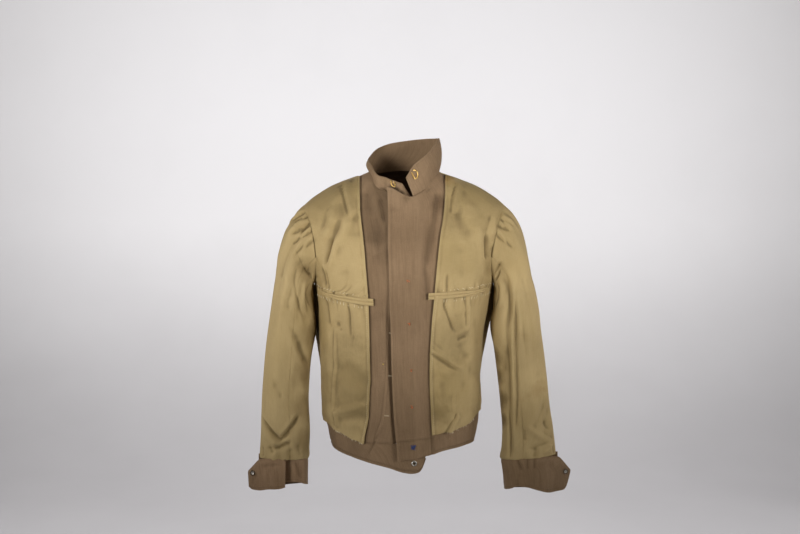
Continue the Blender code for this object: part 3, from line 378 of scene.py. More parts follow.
HEAD_GATHERS_L = named_rows(
    Crease,
    (24.0, 0.03, 14.0, 0.4, 0.0044, -0.0026), (34.0, 0.0, 24.0, 0.26, 0.003, 0.0036),
    (40.0, 0.02, 43.0, 0.24, 0.0026, -0.0048), (46.0, 0.0, 35.0, 0.3, 0.0028, 0.0044),
    (54.0, 0.02, 45.0, 0.22, 0.0026, -0.0048), (61.0, 0.0, 65.0, 0.3, 0.003, 0.0038),
    (70.0, 0.03, 60.0, 0.46, 0.0036, -0.0038), (44.0, 0.34, 34.0, 1.0, 0.01, 0.003),
    (-18.0, 0.03, -20.0, 0.42, 0.0046, 0.0022), (-34.0, 0.03, -28.0, 0.36, 0.0042, -0.0024),
    (-50.0, 0.03, -54.0, 0.44, 0.0044, 0.0022),
)

CELL = 0.0028            # usual cell of a cloth grid
FINE_CELL = 0.0019       # cell of the fronts, which carry pressed pleats
LAP = 0.0018             # how far the lining's turned edge lies over the facings
SLEEVE_PUFF = {-1: 0.0035, 1: 0.0030}    # fulness of the sleeve heads
BAND_JOIN = -0.538       # level where the waistband is joined to the left facing
FLOOR = -1.05            # level of the studio floor
SWEEP = 1.6              # radius of the sweep from floor to backdrop

# A cloth's look; troughs is the share of painted shade in creases
Look = namedtuple("Look", "main pale dark stain lines depth fuzz sheen streaks troughs")
KHAKI_LOOK = Look(
    main=(0.38, 0.281, 0.124), pale=(0.45, 0.341, 0.168),
    dark=(0.25, 0.175, 0.07), stain=(0.3, 0.195, 0.075),
    lines=330.0, depth=0.00022, fuzz=0.10, sheen=0.10, streaks=0.10, troughs=0.68)
WOOL_LOOK = Look(
    main=(0.22, 0.14, 0.074), pale=(0.29, 0.194, 0.112),
    dark=(0.12, 0.072, 0.034), stain=(0.15, 0.092, 0.044),
    lines=240.0, depth=0.00035, fuzz=0.30, sheen=0.25, streaks=0.28, troughs=0.45)
TROUGH_SHADE = (0.40, 0.37, 0.31)    # painted shade in a crease: what it leaves of the cloth's colour
BACKDROP = (0.80, 0.79, 0.81)
# Painted shade of the backdrop towards the floor
BACKDROP_PAINTED_SHADE = (0.45, 0.44, 0.455)

POCKET_LEVEL = -0.236    # level where the upper fronts start, at the armhole side of the pockets
HEM_LEVEL = -0.540       # usual level of the lining hem
OVERLAP_FOOT = -0.572    # level of the left facing's lower edge
SIDE_FADE = 0.03         # depth in which the folds of front and back die out at the sides
HANG_ROW = 2.25          # row of the sleeve where it hangs in most
CAP_OUT = 0.75           # direction in which the sleeve leaves the armhole, outwards
CAP_DOWN = 0.66          # and downwards
TURNED_EDGE = 0.004      # cloth that turns down at a sewn edge
BODY_GIRTH = 0.16        # cloth to a radian round the body
CUFF_TALL = 0.066        # usual height of a cuff
WIRE_SHOWN = 1.7 * WIRE  # radius of the wire as it is shown, thicker than its solid
TUBE_ASIDE = np.array([0.31, 0.87, 0.38])    # a direction that no thread or wire runs along
STITCH_RISE = np.array([-0.8, 0.5, 0.8, 0.5, -0.8])    # a stitch's height along it, in radii
THREAD_SIDES = 5
SNAP_SIDES = 40
SNAP_HOLLOW = 0.0031     # radius of a snap's hollow
SNAP_PROUD = 0.0008      # how far a snap stands off the cloth
TAB_SNAP = (np.radians(9.0), -0.589)    # angle and level of the snap on the waistband tab

# A sewn edge: depth of its turn, height of its gathers, their pitch and how far in they reach
Edge = namedtuple("Edge", "roll pucker pitch reach")
GATHERS_ABOVE = Edge(0.0, 0.0046, 0.0074, 0.014)
GATHERS_BELOW = Edge(0.0, 0.0052, 0.0080, 0.017)
ARMHOLE_EDGE = Edge(-0.0012, 0.0014, 0.010, 0.012)
SHOULDER_EDGE = Edge(0.0006, 0.0004, 0.012, 0.008)
SIDE_EDGE = Edge(0.0006, 0.0008, 0.014, 0.012)
BACK_EDGE = Edge(0.0006, 0.0008, 0.012, 0.012)
FLY_EDGE = Edge(0.0006, 0.0003, 0.030, 0.006)
SLEEVE_EDGE = Edge(0.0006, 0.0007, 0.014, 0.010)

# A rounded ridge, or a groove where its height is below zero, at a distance from an edge
Bead = namedtuple("Bead", "middle width height")
LINING_GROOVE = Bead(0.0008, 0.0022, -0.0022)     # in a facing, beside the lining's turned edge
FLY_HOLLOW = Bead(-0.0005, 0.0060, -0.0070)       # under the overlap's free edge
OVERLAP_ROLL = Bead(0.0020, 0.0018, 0.0012)
LAPEL_ROLL = Bead(0.0022, 0.0020, 0.0014)
OVERLAP_STITCH = Bead(0.0075, 0.0018, -0.0003)
BAND_STITCH = Bead(0.0055, 0.0018, -0.0018)
HEAD_SEAM = Bead(0.0034, 0.0020, -0.0050)
CUFF_STITCH = Bead(0.0055, 0.0015, -0.0005)

# Unevenness of a worn cloth: its largest waves across and along, and their height
Wave = namedtuple("Wave", "wide tall height")
LINING_WAVE = Wave(0.034, 0.085, 0.0011)
WOOL_WAVE = Wave(0.050, 0.120, 0.0007)
BAND_WAVE = Wave(0.030, 0.040, 0.0010)
SLEEVE_WAVE = Wave(0.030, 0.090, 0.0012)
COLLAR_WAVE = Wave(0.036, 0.030, 0.0009)
CUFF_WAVE = Wave(0.022, 0.040, 0.0011)

Stitch = namedtuple("Stitch", "length gap radius")
LINING_STITCH = Stitch(0.0024, 0.0024, 0.00026)
WOOL_STITCH = Stitch(0.0026, 0.0012, 0.00030)

WARM = (1.0, 0.975, 0.94)
WHITE = (1.0, 1.0, 1.0)
Light = namedtuple("Light", "name place target size power spread colour")
LIGHTS = (
    Light("left_softbox", (-1.20, -1.55, -0.10), (-0.03, -0.05, -0.06), 0.50, 2.08, 45.0, WARM),
    Light("right_softbox", (1.20, -1.55, -0.10), (0.04, -0.05, -0.06), 0.50, 1.86, 45.0, WARM),
    Light("left_side", (-2.20, -0.15, -0.20), (-0.28, 0.0, -0.38), 0.60, 0.62, 30.0, WARM),
    Light("right_side", (2.20, -0.15, -0.20), (0.29, 0.0, -0.40), 0.60, 0.60, 30.0, WARM),
    Light("overhead", (0.0, 0.55, 1.5), (0.0, 0.1, -0.3), 1.2, 1.5, 120.0, WHITE),
    Light("back_fill", (0.0, 2.4, 0.7), (0.0, 0.1, -0.3), 1.6, 9.0, 120.0, WHITE),
    Light("backdrop_light", (-0.10, 0.9, 0.35), (-0.10, 3.2, 0.25), 4.4, 100.0, 165.0, WHITE),
)
CAMERA_PLACE = (-0.0087, -2.300, -0.189)
SENSOR_WIDTH = 36.0      # millimetres, as is the next
FOCAL_LENGTH = 47.7

FACING_TUCK = 0.004      # how far the facings run in under the lining
STRIP_LIFT = 0.0021      # face of the fly strip, over the right facing
WELT_LIFT = 0.0038       # foot of the welts' lips, over the lining
JOIN_STEP = 0.0016       # step where the waistband is joined to the left facing
LAPEL_LIFT = 0.0100      # how far the left facing's top corner lifts off

SNAP_PROFILE = (Stud(0.0058, -0.0002), Stud(0.0058, 0.0006), Stud(0.0053, 0.0013), Stud(0.0044, 0.0016),
                Stud(0.0036, 0.0013), Stud(0.0031, 0.0006), Stud(0.0024, 0.0003), Stud(0.0012, 0.0002),
                Stud(0.0001, 0.0002))
CUFF_FOLDS_R = named_rows(
    Fold,
    (-0.302, -0.614, -0.262, -0.606, 0.006, -0.0022), (-0.236, -0.602, -0.222, -0.64, 0.007, -0.0032),
    (-0.28, -0.625, -0.276, -0.662, 0.008, 0.0018), (-0.316, -0.63, -0.326, -0.655, 0.006, -0.0016),
)
CUFF_FOLDS_L = named_rows(
    Fold,
    (0.24, -0.598, 0.25, -0.622, 0.0034, -0.0028), (0.247, -0.598, 0.256, -0.618, 0.003, 0.0022),
    (0.262, -0.598, 0.263, -0.62, 0.0032, -0.0026), (0.277, -0.598, 0.276, -0.618, 0.0034, -0.0022),
    (0.246, -0.626, 0.24, -0.66, 0.007, -0.0022), (0.3, -0.61, 0.304, -0.66, 0.014, 0.0022),
)
BAR_TACKS = ((-0.0294, -0.324), (-0.0305, -0.413), (-0.0346, -0.496))
BUTTON_THREADS = ((0.0069, -0.218), (0.0089, -0.307), (0.0140, -0.4007), (0.0162, -0.4775))
BLUE_MARK = (0.0172, -0.5647)
YELLOW_KNOT = (-0.0440, -0.3880)

# A patch multiplied into a cloth's colour: mostly painted shade, painted light where its colour is above one,
# and in one place a real stain
StainAndShadePatch = namedtuple("StainAndShadePatch", "centre radius share colour")
# Lining patches, mostly painted light and shade: painted shade on shoulders, lower fronts, armpits, inner
# sleeve edges, chest and back, painted light on the left sleeve where the colour is above one; the ochre
# patch by the left neck is a real stain
LINING_STAIN_AND_PAINTED_SHADING = named_rows(
    StainAndShadePatch,
    ((-0.16, -0.01, -0.03), 0.06, 0.85, (0.66, 0.64, 0.58)),
    ((0.155, -0.01, -0.03), 0.06, 0.85, (0.66, 0.64, 0.56)),
    ((0.088, -0.02, 0.006), 0.018, 0.7, (0.98, 0.78, 0.42)),
    ((-0.115, -0.11, -0.44), 0.07, 0.95, (0.6, 0.58, 0.51)),
    ((-0.125, -0.11, -0.325), 0.036, 0.75, (0.8, 0.79, 0.77)),
    ((0.11, -0.112, -0.345), 0.038, 0.85, (0.68, 0.67, 0.63)),
    ((0.08, -0.116, -0.488), 0.026, 0.9, (0.66, 0.64, 0.57)),
    ((0.11, -0.112, -0.44), 0.05, 0.7, (0.76, 0.74, 0.64)),
    ((0.12, -0.115, -0.37), 0.02, 0.45, (0.74, 0.72, 0.62)),
    ((0.285, -0.045, -0.5), 0.04, 0.65, (0.78, 0.76, 0.7)),
    ((0.125, -0.105, -0.17), 0.04, 0.6, (0.8, 0.79, 0.72)),
    ((0.19, 0.002, -0.325), 0.016, 0.85, (0.5, 0.46, 0.38)),
    ((0.198, -0.012, -0.382), 0.016, 0.95, (0.42, 0.38, 0.31)),
    ((0.202, -0.014, -0.425), 0.014, 0.95, (0.42, 0.38, 0.31)),
    ((0.207, -0.018, -0.475), 0.014, 0.95, (0.42, 0.38, 0.31)),
    ((0.21, -0.018, -0.52), 0.012, 0.95, (0.44, 0.4, 0.33)),
    ((-0.192, 0.002, -0.325), 0.022, 0.85, (0.5, 0.46, 0.38)),
    ((-0.21, -0.03, -0.335), 0.018, 0.7, (0.66, 0.63, 0.56)),
    ((-0.212, -0.03, -0.415), 0.022, 0.75, (0.6, 0.56, 0.49)),
    ((-0.212, -0.032, -0.49), 0.022, 0.75, (0.62, 0.58, 0.51)),
    ((-0.212, -0.03, -0.56), 0.018, 0.7, (0.66, 0.62, 0.55)),
    ((-0.206, -0.055, -0.195), 0.017, 0.8, (0.58, 0.55, 0.48)),
    ((0.19, -0.06, -0.19), 0.016, 0.8, (0.58, 0.55, 0.48)),
    ((0.096, -0.09, -0.07), 0.032, 0.8, (0.78, 0.77, 0.75)),
    ((-0.129, -0.075, -0.062), 0.02, 0.8, (0.78, 0.77, 0.75)),
    ((0.259, -0.055, -0.367), 0.03, 0.6, (0.8, 0.79, 0.77)),
    ((0.25, -0.06, -0.195), 0.032, 0.85, (1.17, 1.17, 1.18)),
    ((0.06, 0.11, -0.08), 0.07, 0.4, (0.78, 0.74, 0.64)),
    ((-0.08, 0.11, -0.42), 0.06, 0.45, (0.74, 0.7, 0.6)),
)
# All painted light and shade on the wool: painted shadow in the slit under the lapel's top and in the trough
# by the lining, painted shade on the overlap, waistband, left cuff and back of the collar, painted light on
# the right cuff
WOOL_PAINTED_SHADING = named_rows(
    StainAndShadePatch,
    ((0.01, -0.115, -0.48), 0.06, 0.25, (0.78, 0.76, 0.68)),
    ((0.015, -0.125, -0.27), 0.05, 0.6, (0.76, 0.74, 0.7)),
    ((-0.027, -0.05, -0.02), 0.0055, 0.9, (0.3, 0.28, 0.25)),
    ((-0.017, -0.054, -0.027), 0.0055, 0.9, (0.3, 0.28, 0.25)),
    ((-0.006, -0.056, -0.034), 0.0055, 0.9, (0.3, 0.28, 0.25)),
    ((0.08, -0.07, -0.05), 0.018, 0.9, (0.52, 0.48, 0.42)),
    ((-0.27, -0.04, -0.635), 0.06, 1.0, (1.26, 1.24, 1.26)),
    ((0.25, -0.045, -0.63), 0.03, 0.45, (0.8, 0.78, 0.68)),
    ((-0.118, -0.09, -0.56), 0.035, 0.8, (0.74, 0.72, 0.67)),
    ((0.06, -0.115, -0.566), 0.022, 0.7, (0.76, 0.74, 0.69)),
    ((0.0, 0.06, 0.04), 0.05, 0.4, (0.76, 0.74, 0.7)),
)

# Painted shade over the right facing, which lies recessed behind the overlap
FACING_R_PAINTED_SHADE = named_rows(
    StainAndShadePatch,
    ((-0.064, -0.08, -0.09), 0.06, 0.85, (0.6, 0.58, 0.53)),
    ((-0.056, -0.11, -0.22), 0.06, 0.65, (0.74, 0.72, 0.68)),
    ((-0.054, -0.118, -0.34), 0.055, 0.45, (0.72, 0.7, 0.66)),
    ((-0.05, -0.115, -0.48), 0.06, 0.35, (0.78, 0.77, 0.72)),
)

# A cut piece laid flat: greatest width and length, area and material slot
Cut = namedtuple("Cut", "width length area slot")


def column(table, name):
    """One named column of a table."""
    return np.array([getattr(row, name) for row in table], dtype=float)


def smooth(knots, values, at):
    """A column between its rows: a cubic through the rows that never overshoots them."""
    at = np.asarray(at, dtype=float)
    step = np.diff(knots)
    slope = np.diff(values) / step
    flat = slope[:-1] * slope[1:] <= 0.0
    near = np.where(flat, 1.0, slope[:-1])
    far = np.where(flat, 1.0, slope[1:])
    first = 2.0 * step[1:] + step[:-1]
    second = step[1:] + 2.0 * step[:-1]
    middle = np.where(flat, 0.0, (first + second) / (first / near + second / far))
    tangent = np.concatenate([slope[:1], middle, slope[-1:]])
    i = np.clip(np.searchsorted(knots, at, side="right") - 1, 0, len(step) - 1)
    t = (at - knots[i]) / step[i]
    rise = values[i + 1] - values[i]
    lead = step[i] * tangent[i]
    trail = step[i] * tangent[i + 1]
    return values[i] + t * (lead + t * (3.0 * rise - 2.0 * lead - trail + t * (lead + trail - 2.0 * rise)))


def lookup(table, knot, name, at):
    """Column `name` of a table at places `at` of its column `knot`."""
    return smooth(column(table, knot), column(table, name), at)


def ring(name, level):
    """One measure of the worn form at a level."""
    return lookup(TORSO, "level", name, level)


def ease(value):
    """0 to 1 with level ends."""
    value = np.clip(value, 0.0, 1.0)
    return value * value * (3.0 - 2.0 * value)


def unit(vectors):
    """Vectors brought to length one."""
    return vectors / np.maximum(np.linalg.norm(vectors, axis=-1, keepdims=True), 1e-12)


def line_places(u, v, u0, v0, u1, v1):
    """Places beside a line: 0 to 1 along it, and the distance across it."""
    du, dv = u1 - u0, v1 - v0
    along = ((u - u0) * du + (v - v0) * dv) / (du * du + dv * dv)
    return along, ((u - u0) * dv - (v - v0) * du) / np.hypot(du, dv)


def crease(u, v, u0, v0, u1, v1, width, height):
    """A rounded trough or ridge along the line from (u0, v0) to (u1, v1), fading at its ends."""
    along, across = line_places(u, v, u0, v0, u1, v1)
    fade = ease((along + 0.20) / 0.45) * ease((1.20 - along) / 0.45)
    return height * fade * np.exp(-(across / (width * (0.55 + 0.45 * fade))) ** 2)


def pleat(u, v, u0, v0, u1, v1, gentle, steep, height):
    """A pressed pleat: a ridge, gentle on its right and steep on its left, where a groove runs beside it."""
    along, across = line_places(u, v, u0, v0, u1, v1)
    fade = ease((along + 0.10) / 0.2) * ease((1.10 - along) / 0.25)
    ridge = np.exp(-(across / np.where(across > 0.0, steep, gentle)) ** 2)
    groove = np.exp(-((across - 2.4 * steep) / (1.3 * steep)) ** 2)
    return height * fade * (ridge - 0.45 * groove)


def folds_on(place, folds):
    """Height of a table of folds, drawn in x and z."""
    return sum(crease(place[..., 0], place[..., 2], *fold) for fold in folds)


def bead_relief(distance, bead):
    """A rounded ridge or groove at one distance from an edge."""
    return bead.height * np.exp(-((distance - bead.middle) / bead.width) ** 2)


def normals(surface, u, v, du, dv):
    """Unit normals of surface(u, v) from its slopes both ways."""
    return unit(np.cross(surface(u + du, v) - surface(u - du, v), surface(u, v + dv) - surface(u, v - dv)))


def plain_torso(angle, level):
    """The worn form without folds: rings, tipped down in front and up behind, bunched out under the arms."""
    ahead = np.clip(np.cos(angle), 0.0, None)
    behind = np.clip(-np.cos(angle), 0.0, None)
    under_arm = ease((BUNCH_TOP - level) / 0.035) * ease(behind / 0.3) * ease((0.9 - behind) / 0.5)
    x = ring("centre", level) + (ring("half_width", level) + under_arm * ring("flare", level)) * np.sin(angle)
    y = SIDE_Y + ring("back", level) * behind - ring("front", level) * ahead
    z = level + ring("rise", level) * behind ** 2 - ring("drop", level) * ahead ** 2
    return np.stack([x, y, z], axis=-1)


def torso_normals(angle, level):
    """Unit normals of the worn form, outwards."""
    return normals(plain_torso, angle, level, 0.002, 0.0004)


def torso(angle, level):
    """The worn form with the main folds of the fronts."""
    place = plain_torso(angle, level)
    height = folds_on(place, BODY_FOLDS) * ease((SIDE_Y - place[..., 1]) / SIDE_FADE)
    return place + torso_normals(angle, level) * height[..., None]


def angle_at(x, level):
    """Angle of a front point x to the side of the middle."""
    return np.arcsin(np.clip((x - ring("centre", level)) / ring("half_width", level), -1.0, 1.0))


def front_line(name, level):
    """Angle of one of the fronts' upright lines."""
    return angle_at(lookup(FRONT, "level", name, level), level)


def foot(name, angle):
    """Level of the lining hem or the band's lower edge."""
    return lookup(FEET, "angle", name, np.degrees(angle))


def pocket_line(side, angle):
    """Level of the seam that the pocket welt covers."""
    name = "line_l" if side > 0 else "line_r"
    return lookup(POCKETS, "angle", name, np.abs(np.degrees(angle)))


def arm_reach(high, front):
    """The armhole's distance from the side seam, 0 to 1, by height; its upper front is nearly upright."""
    square = np.where(front & (high > 0.0), np.abs(high) ** ARM_SQUARE, high * high)
    return np.sqrt(np.maximum(1.0 - square, 0.0))


def arm_edge(level, front=False):
    """How far the armhole is from the side seam, round the body."""
    return ARM_SPREAD * arm_reach(np.clip((level - ARM_LEVEL) / ARM_RISE, -1.0, 1.0), front)


def armhole(side, turn):
    """Armhole seam: turn 0 at the shoulder point, a quarter turn at the front edge."""
    level = ARM_LEVEL + ARM_RISE * np.cos(turn)
    away = np.sign(np.sin(turn)) * arm_reach(np.cos(turn), np.sin(turn) > 0.0)
    return side * (np.pi / 2.0 - ARM_SPREAD * away), level


def sleeve(side, turn, row):
    """A sleeve: oval sections down the arm, joined to the armhole seam by a rounded cap."""
    table = SLEEVE_L if side > 0 else SLEEVE_R
    rows = np.arange(1.0, len(table) + 1.0)

    def section(place):
        outer_x, outer_z, inner_x, inner_z, centre_y, half_depth = (
            smooth(rows, column(table, name), place) for name in Section._fields)
        x = (outer_x + inner_x + (outer_x - inner_x) * np.cos(turn)) / 2.0
        z = (outer_z + inner_z + (outer_z - inner_z) * np.cos(turn)) / 2.0
        x = x - SLEEVE_HANG * np.exp(-((place - HANG_ROW) / 0.55) ** 2) * ease((-np.cos(turn) - 0.1) / 0.9)
        return np.stack([side * x, centre_y - half_depth * np.sin(turn), z], axis=-1)

    top = torso(*armhole(side, turn))
    first = section(np.ones_like(row))
    reach = np.linalg.norm(first - top, axis=-1, keepdims=True)
    leave = reach * np.array([side * CAP_OUT, 0.0, -CAP_DOWN])
    arrive = reach * unit(section(1.01 * np.ones_like(row)) - first)
    t = np.clip(row, -0.1, 1.0)[..., None]
    cap = top + t * (leave + t * (3.0 * (first - top) - 2.0 * leave - arrive
                                  + t * (leave + arrive - 2.0 * (first - top))))
    return np.where(row[..., None] < 1.0, cap, section(np.maximum(row, 1.0)))


def outwards(turn):
    """Level directions away from the neck's middle."""
    return np.stack([np.sin(turn), -np.cos(turn), np.zeros_like(turn)], axis=-1)


def collar(angle, up):
    """The standing collar: from the neckline seam to its top edge."""
    turn = np.radians(angle)
    ahead = np.clip(np.cos(turn), 0.0, None)
    forward = np.stack([-np.cos(turn), -np.sin(turn), np.zeros_like(turn)], axis=-1)
    height, lean, advance, inset = (lookup(COLLAR, "angle", name, angle) for name in Stand._fields[1:])
    bow = lean * up - inset + COLLAR_ROLL * np.sin(np.pi * np.clip(up, 0.0, 1.0)) * (1.0 - ahead)
    place = plain_torso(turn, np.full_like(turn, NECK_LEVEL)) + outwards(turn) * bow[..., None]
    place = place + forward * (advance * up)[..., None]
    place[..., 2] += SEAM + height * up
    return place


def cuff_ways(table):
    """Distance of each cuff row along the strip."""
    steps = np.hypot(np.diff(column(table, "x")), np.diff(column(table, "y")))
    return np.concatenate([[0.0], np.cumsum(steps)])


def cuff(table, along, down):
    """A cuff strip: along its path round the wrist, down from its top edge."""
    ways = cuff_ways(table)
    x, y, top, bottom, shear = (smooth(ways, column(table, name), along) for name in Turn._fields)
    return np.stack([x + shear * down, y, top + (bottom - top) * down], axis=-1)


def cuff_normals(side, table, along, down):
    """Unit normals of a cuff, away from the wrist."""
    return -side * normals(lambda a, b: cuff(table, a, b), along, down, 0.001, 0.01)


def noise(u, v, seed):
    """Smooth random heights from -1 to 1: corner values of a unit lattice, blended with level ends."""
    column_at, row_at = np.floor(u), np.floor(v)
    across, up = ease(u - column_at), ease(v - row_at)

    def corner(i, j):
        wave = np.sin((column_at + i) * 127.1 + (row_at + j) * 311.7 + seed * 74.7) * 43758.5453
        return 2.0 * (wave - np.floor(wave)) - 1.0

    low = corner(0, 0) + (corner(1, 0) - corner(0, 0)) * across
    high = corner(0, 1) + (corner(1, 1) - corner(0, 1)) * across
    return low + (high - low) * up


def ripple(u, v, wave, seed):
    """Soft unevenness of a worn cloth: two sizes of smooth noise, the smaller less than half as high."""
    broad = noise(u / wave.wide, v / wave.tall, seed)
    return wave.height * (broad + 0.45 * noise(u / wave.wide * 2.7 + 5.0, v / wave.tall * 2.3, seed + 1))


def edge_relief(distance, along, edge, seed):
    """A sewn edge: the last millimetres turn down, and small uneven gathers run in from it and die out."""
    turned = -edge.roll * np.clip(1.0 - distance / TURNED_EDGE, 0.0, 1.0) ** 2
    gathers = noise(along / edge.pitch, distance / edge.reach * 0.6, seed)
    return turned + edge.pucker * gathers * np.exp(-distance / edge.reach)


def close_shares(length, step):
    """Shares of a length for a grid: close at both turned edges, about `step` apart between."""
    count = max(int(length / step), 6)
    edge = np.array([0.0, 0.0007, 0.0022]) / length
    return np.concatenate([edge, np.linspace(0.0, 1.0, count)[2:-2], 1.0 - edge[::-1]])


def lengths(place):
    """Distances on a grid of points: from its first column, to its last, from its first row, to its last."""
    across = np.linalg.norm(np.diff(place, axis=1), axis=-1)
    across = np.pad(np.cumsum(across, axis=1), ((0, 0), (1, 0)))
    up = np.linalg.norm(np.diff(place, axis=0), axis=-1)
    up = np.pad(np.cumsum(up, axis=0), ((1, 0), (0, 0)))
    return across, across[:, -1:] - across, up, up[-1:] - up


def grid_normals(place):
    """Unit normals of a grid of points, from its own slopes."""
    return unit(np.cross(np.gradient(place, axis=1), np.gradient(place, axis=0)))


def body_folds(place):
    """Height of the body's folds: main and finer ones in front, their like behind, fading at the sides."""
    x, y, z = place[..., 0], place[..., 1], place[..., 2]
    front = folds_on(place, BODY_FOLDS + FINE_FOLDS) + sum(pleat(x, z, *fold) for fold in PLEATS)
    behind = folds_on(place, BACK_FOLDS)
    return front * ease((SIDE_Y - y) / SIDE_FADE) + behind * ease((y - SIDE_Y) / SIDE_FADE)


def arm_creases(table, turn, row):
    """Height of a table of creases, in the sleeve's own lengths round and along the arm."""
    around = SLEEVE_GIRTH * ((turn + np.pi) % (2.0 * np.pi) - np.pi)
    scale = (SLEEVE_GIRTH * np.radians(1.0), SLEEVE_STEP) * 2
    return sum(crease(around, SLEEVE_STEP * row, *np.multiply(fold[:4], scale), fold.width, fold.height)
               for fold in table)


def sleeve_folds(side, turn, row):
    """Height of a sleeve's creases and of the gathers at its head."""
    creases = CREASES_L + FINE_CREASES_L if side > 0 else CREASES_R + FINE_CREASES_R
    gathers = HEAD_GATHERS_L if side > 0 else HEAD_GATHERS_R
    height = arm_creases(creases, turn, row) * ease(row / 0.4)
    return height + arm_creases(gathers, turn, row) * ease((row + 0.03) / 0.06)


def add_object(name, data):
    """An object of its own at the origin, linked into the scene."""
    made = bpy.data.objects.new(name, data)
    bpy.context.scene.collection.objects.link(made)
    return made


def link_piece(name, mesh, stuffs, nodes):
    """A shown piece: its materials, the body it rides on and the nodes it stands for."""
    for stuff in stuffs:
        mesh.materials.append(stuff)
    piece = add_object(name, mesh)
    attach(piece, "root")
    if nodes:
        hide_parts(*nodes)
    return piece


def smooth_mesh(name, points, faces):
    """A smoothly shaded mesh from arrays of points and faces."""
    mesh = bpy.data.meshes.new(name)
    mesh.from_pydata(points.tolist(), [], faces.tolist())
    mesh.polygons.foreach_set("use_smooth", np.ones(len(mesh.polygons), dtype=bool))
    return mesh


def sheet_faces(rows, columns):
    """Quads of a grid, row by row."""
    index = np.arange(rows * columns).reshape(rows, columns)
    return np.stack([index[:-1, :-1], index[:-1, 1:], index[1:, 1:], index[1:, :-1]], axis=-1).reshape(-1, 4)


def ring_faces(tubes, rings, sides):
    """Quads between neighbouring rings of points, for a number of like tubes."""
    index = np.arange(tubes * rings * sides).reshape(tubes, rings, sides)
    after = np.roll(index, -1, axis=2)
    return np.stack([index[:, :-1], after[:, :-1], after[:, 1:], index[:, 1:]], axis=-1).reshape(-1, 4)


def circle(aside, over, sides):
    """Points round a unit circle in the plane of two directions, one circle for each pair of them."""
    turn = np.linspace(0.0, 2.0 * np.pi, sides, endpoint=False)
    return aside[..., None, :] * np.cos(turn)[:, None] + over[..., None, :] * np.sin(turn)[:, None]


def local_mean(place, reach):
    """Mean of a grid of points over a square of cells, `reach` to each side; edges carry on straight."""
    size = 2 * reach + 1
    wide = np.pad(place, ((reach, reach), (reach, reach), (0, 0)), mode="reflect", reflect_type="odd")
    total = np.pad(np.cumsum(np.cumsum(wide, axis=0), axis=1), ((1, 0), (1, 0), (0, 0)))
    strips = total[size:] - total[:-size]
    return (strips[:, size:] - strips[:, :-size]) / size ** 2


def stand_off(outer, normal):
    """-1 in troughs to 1 on ridges: how far each point of a grid stands off the mean of its neighbours."""
    near = np.sum((outer - local_mean(outer, 2)) * normal, axis=-1) / 0.0009
    broad = np.sum((outer - local_mean(outer, 6)) * normal, axis=-1) / 0.0034
    return np.clip(0.6 * near + 0.6 * broad, -1.0, 1.0)


def cloth(node, outer, thickness, stuffs, side=1):
    """A cloth wall: the grid, the same grid one thickness in along its normals, and the edge between."""
    rows, columns = outer.shape[:2]
    normal = side * grid_normals(outer)
    inner = outer - thickness * normal
    sheet = sheet_faces(rows, columns)
    index = np.arange(rows * columns).reshape(rows, columns)
    edge = np.concatenate([index[0, :-1], index[:-1, -1], index[-1, :0:-1], index[:0:-1, 0]])
    after = np.roll(edge, -1)
    deep = rows * columns
    rim = np.stack([after, edge, edge + deep, after + deep], axis=-1)
    faces = np.concatenate([sheet, sheet[:, ::-1] + deep, rim])
    if side < 0:
        faces = faces[:, ::-1]
    mesh = smooth_mesh(node + "_cloth", np.concatenate([outer.reshape(-1, 3), inner.reshape(-1, 3)]), faces)
    inside = np.zeros(len(faces), dtype=np.int32)
    inside[len(sheet):2 * len(sheet)] = 1
    mesh.polygons.foreach_set("material_index", inside)
    across, _, up, _ = lengths(outer)
    flat = np.stack([across, up], axis=-1).reshape(-1, 2)
    corners = np.empty(len(mesh.loops), dtype=np.int32)
    mesh.loops.foreach_get("vertex_index", corners)
    mesh.uv_layers.new(name="UVMap").data.foreach_set("uv", flat[corners % deep].ravel())
    # The relief, which the materials turn into painted shade in troughs and painted highlight on ridges
    relief = mesh.attributes.new("relief", "FLOAT", "POINT")
    relief.data.foreach_set("value", np.tile(stand_off(outer, normal).ravel(), 2).astype(np.float32))
    piece = link_piece(node + "_cloth", mesh, stuffs, [node])
    return outer


def tube(points, radius, sides):
    """A round tube along points: rings square to the path, drawn in to a narrow end at both ends."""
    path = unit(np.gradient(points, axis=0))
    aside = unit(np.cross(path, TUBE_ASIDE))
    size = np.full(len(points), radius)
    size[[0, -1]] *= 0.35
    rings = points[:, None] + size[:, None, None] * circle(aside, np.cross(path, aside), sides)
    return rings.reshape(-1, 3), ring_faces(1, len(points), sides)


def joined(parts):
    """Points and faces of several parts as one."""
    points = np.concatenate([part[0] for part in parts])
    start = np.cumsum([0] + [len(part[0]) for part in parts[:-1]])
    faces = np.concatenate([part[1] + first for part, first in zip(parts, start)])
    return points, faces


def stitch_row(path, normal, stitch):
    """Stitches along a path: short threads that rise out of the cloth and dive back into it."""
    way = np.concatenate([[0.0], np.cumsum(np.linalg.norm(np.diff(path, axis=0), axis=1))])
    first = np.arange(stitch.gap, way[-1] - stitch.length, stitch.length + stitch.gap)
    at = first[:, None] + stitch.length * np.linspace(0.0, 1.0, len(STITCH_RISE))[None, :]
    spot, up = (np.stack([np.interp(at, way, line[:, k]) for k in range(3)], axis=-1)
                for line in (path, normal))
    spot = spot + up * (stitch.radius * STITCH_RISE)[None, :, None]
    beside = np.cross(unit(np.gradient(spot, axis=1)), up)
    points = spot[:, :, None] + stitch.radius * circle(beside, up, THREAD_SIDES)
    return points.reshape(-1, 3), ring_faces(len(first), len(STITCH_RISE), THREAD_SIDES)


def nearest(face, x, z):
    """Point and normal of a front grid where it shows at (x, z)."""
    place = face.reshape(-1, 3)
    i = np.argmin((place[:, 0] - x) ** 2 + (place[:, 2] - z) ** 2)
    return place[i], grid_normals(face).reshape(-1, 3)[i]


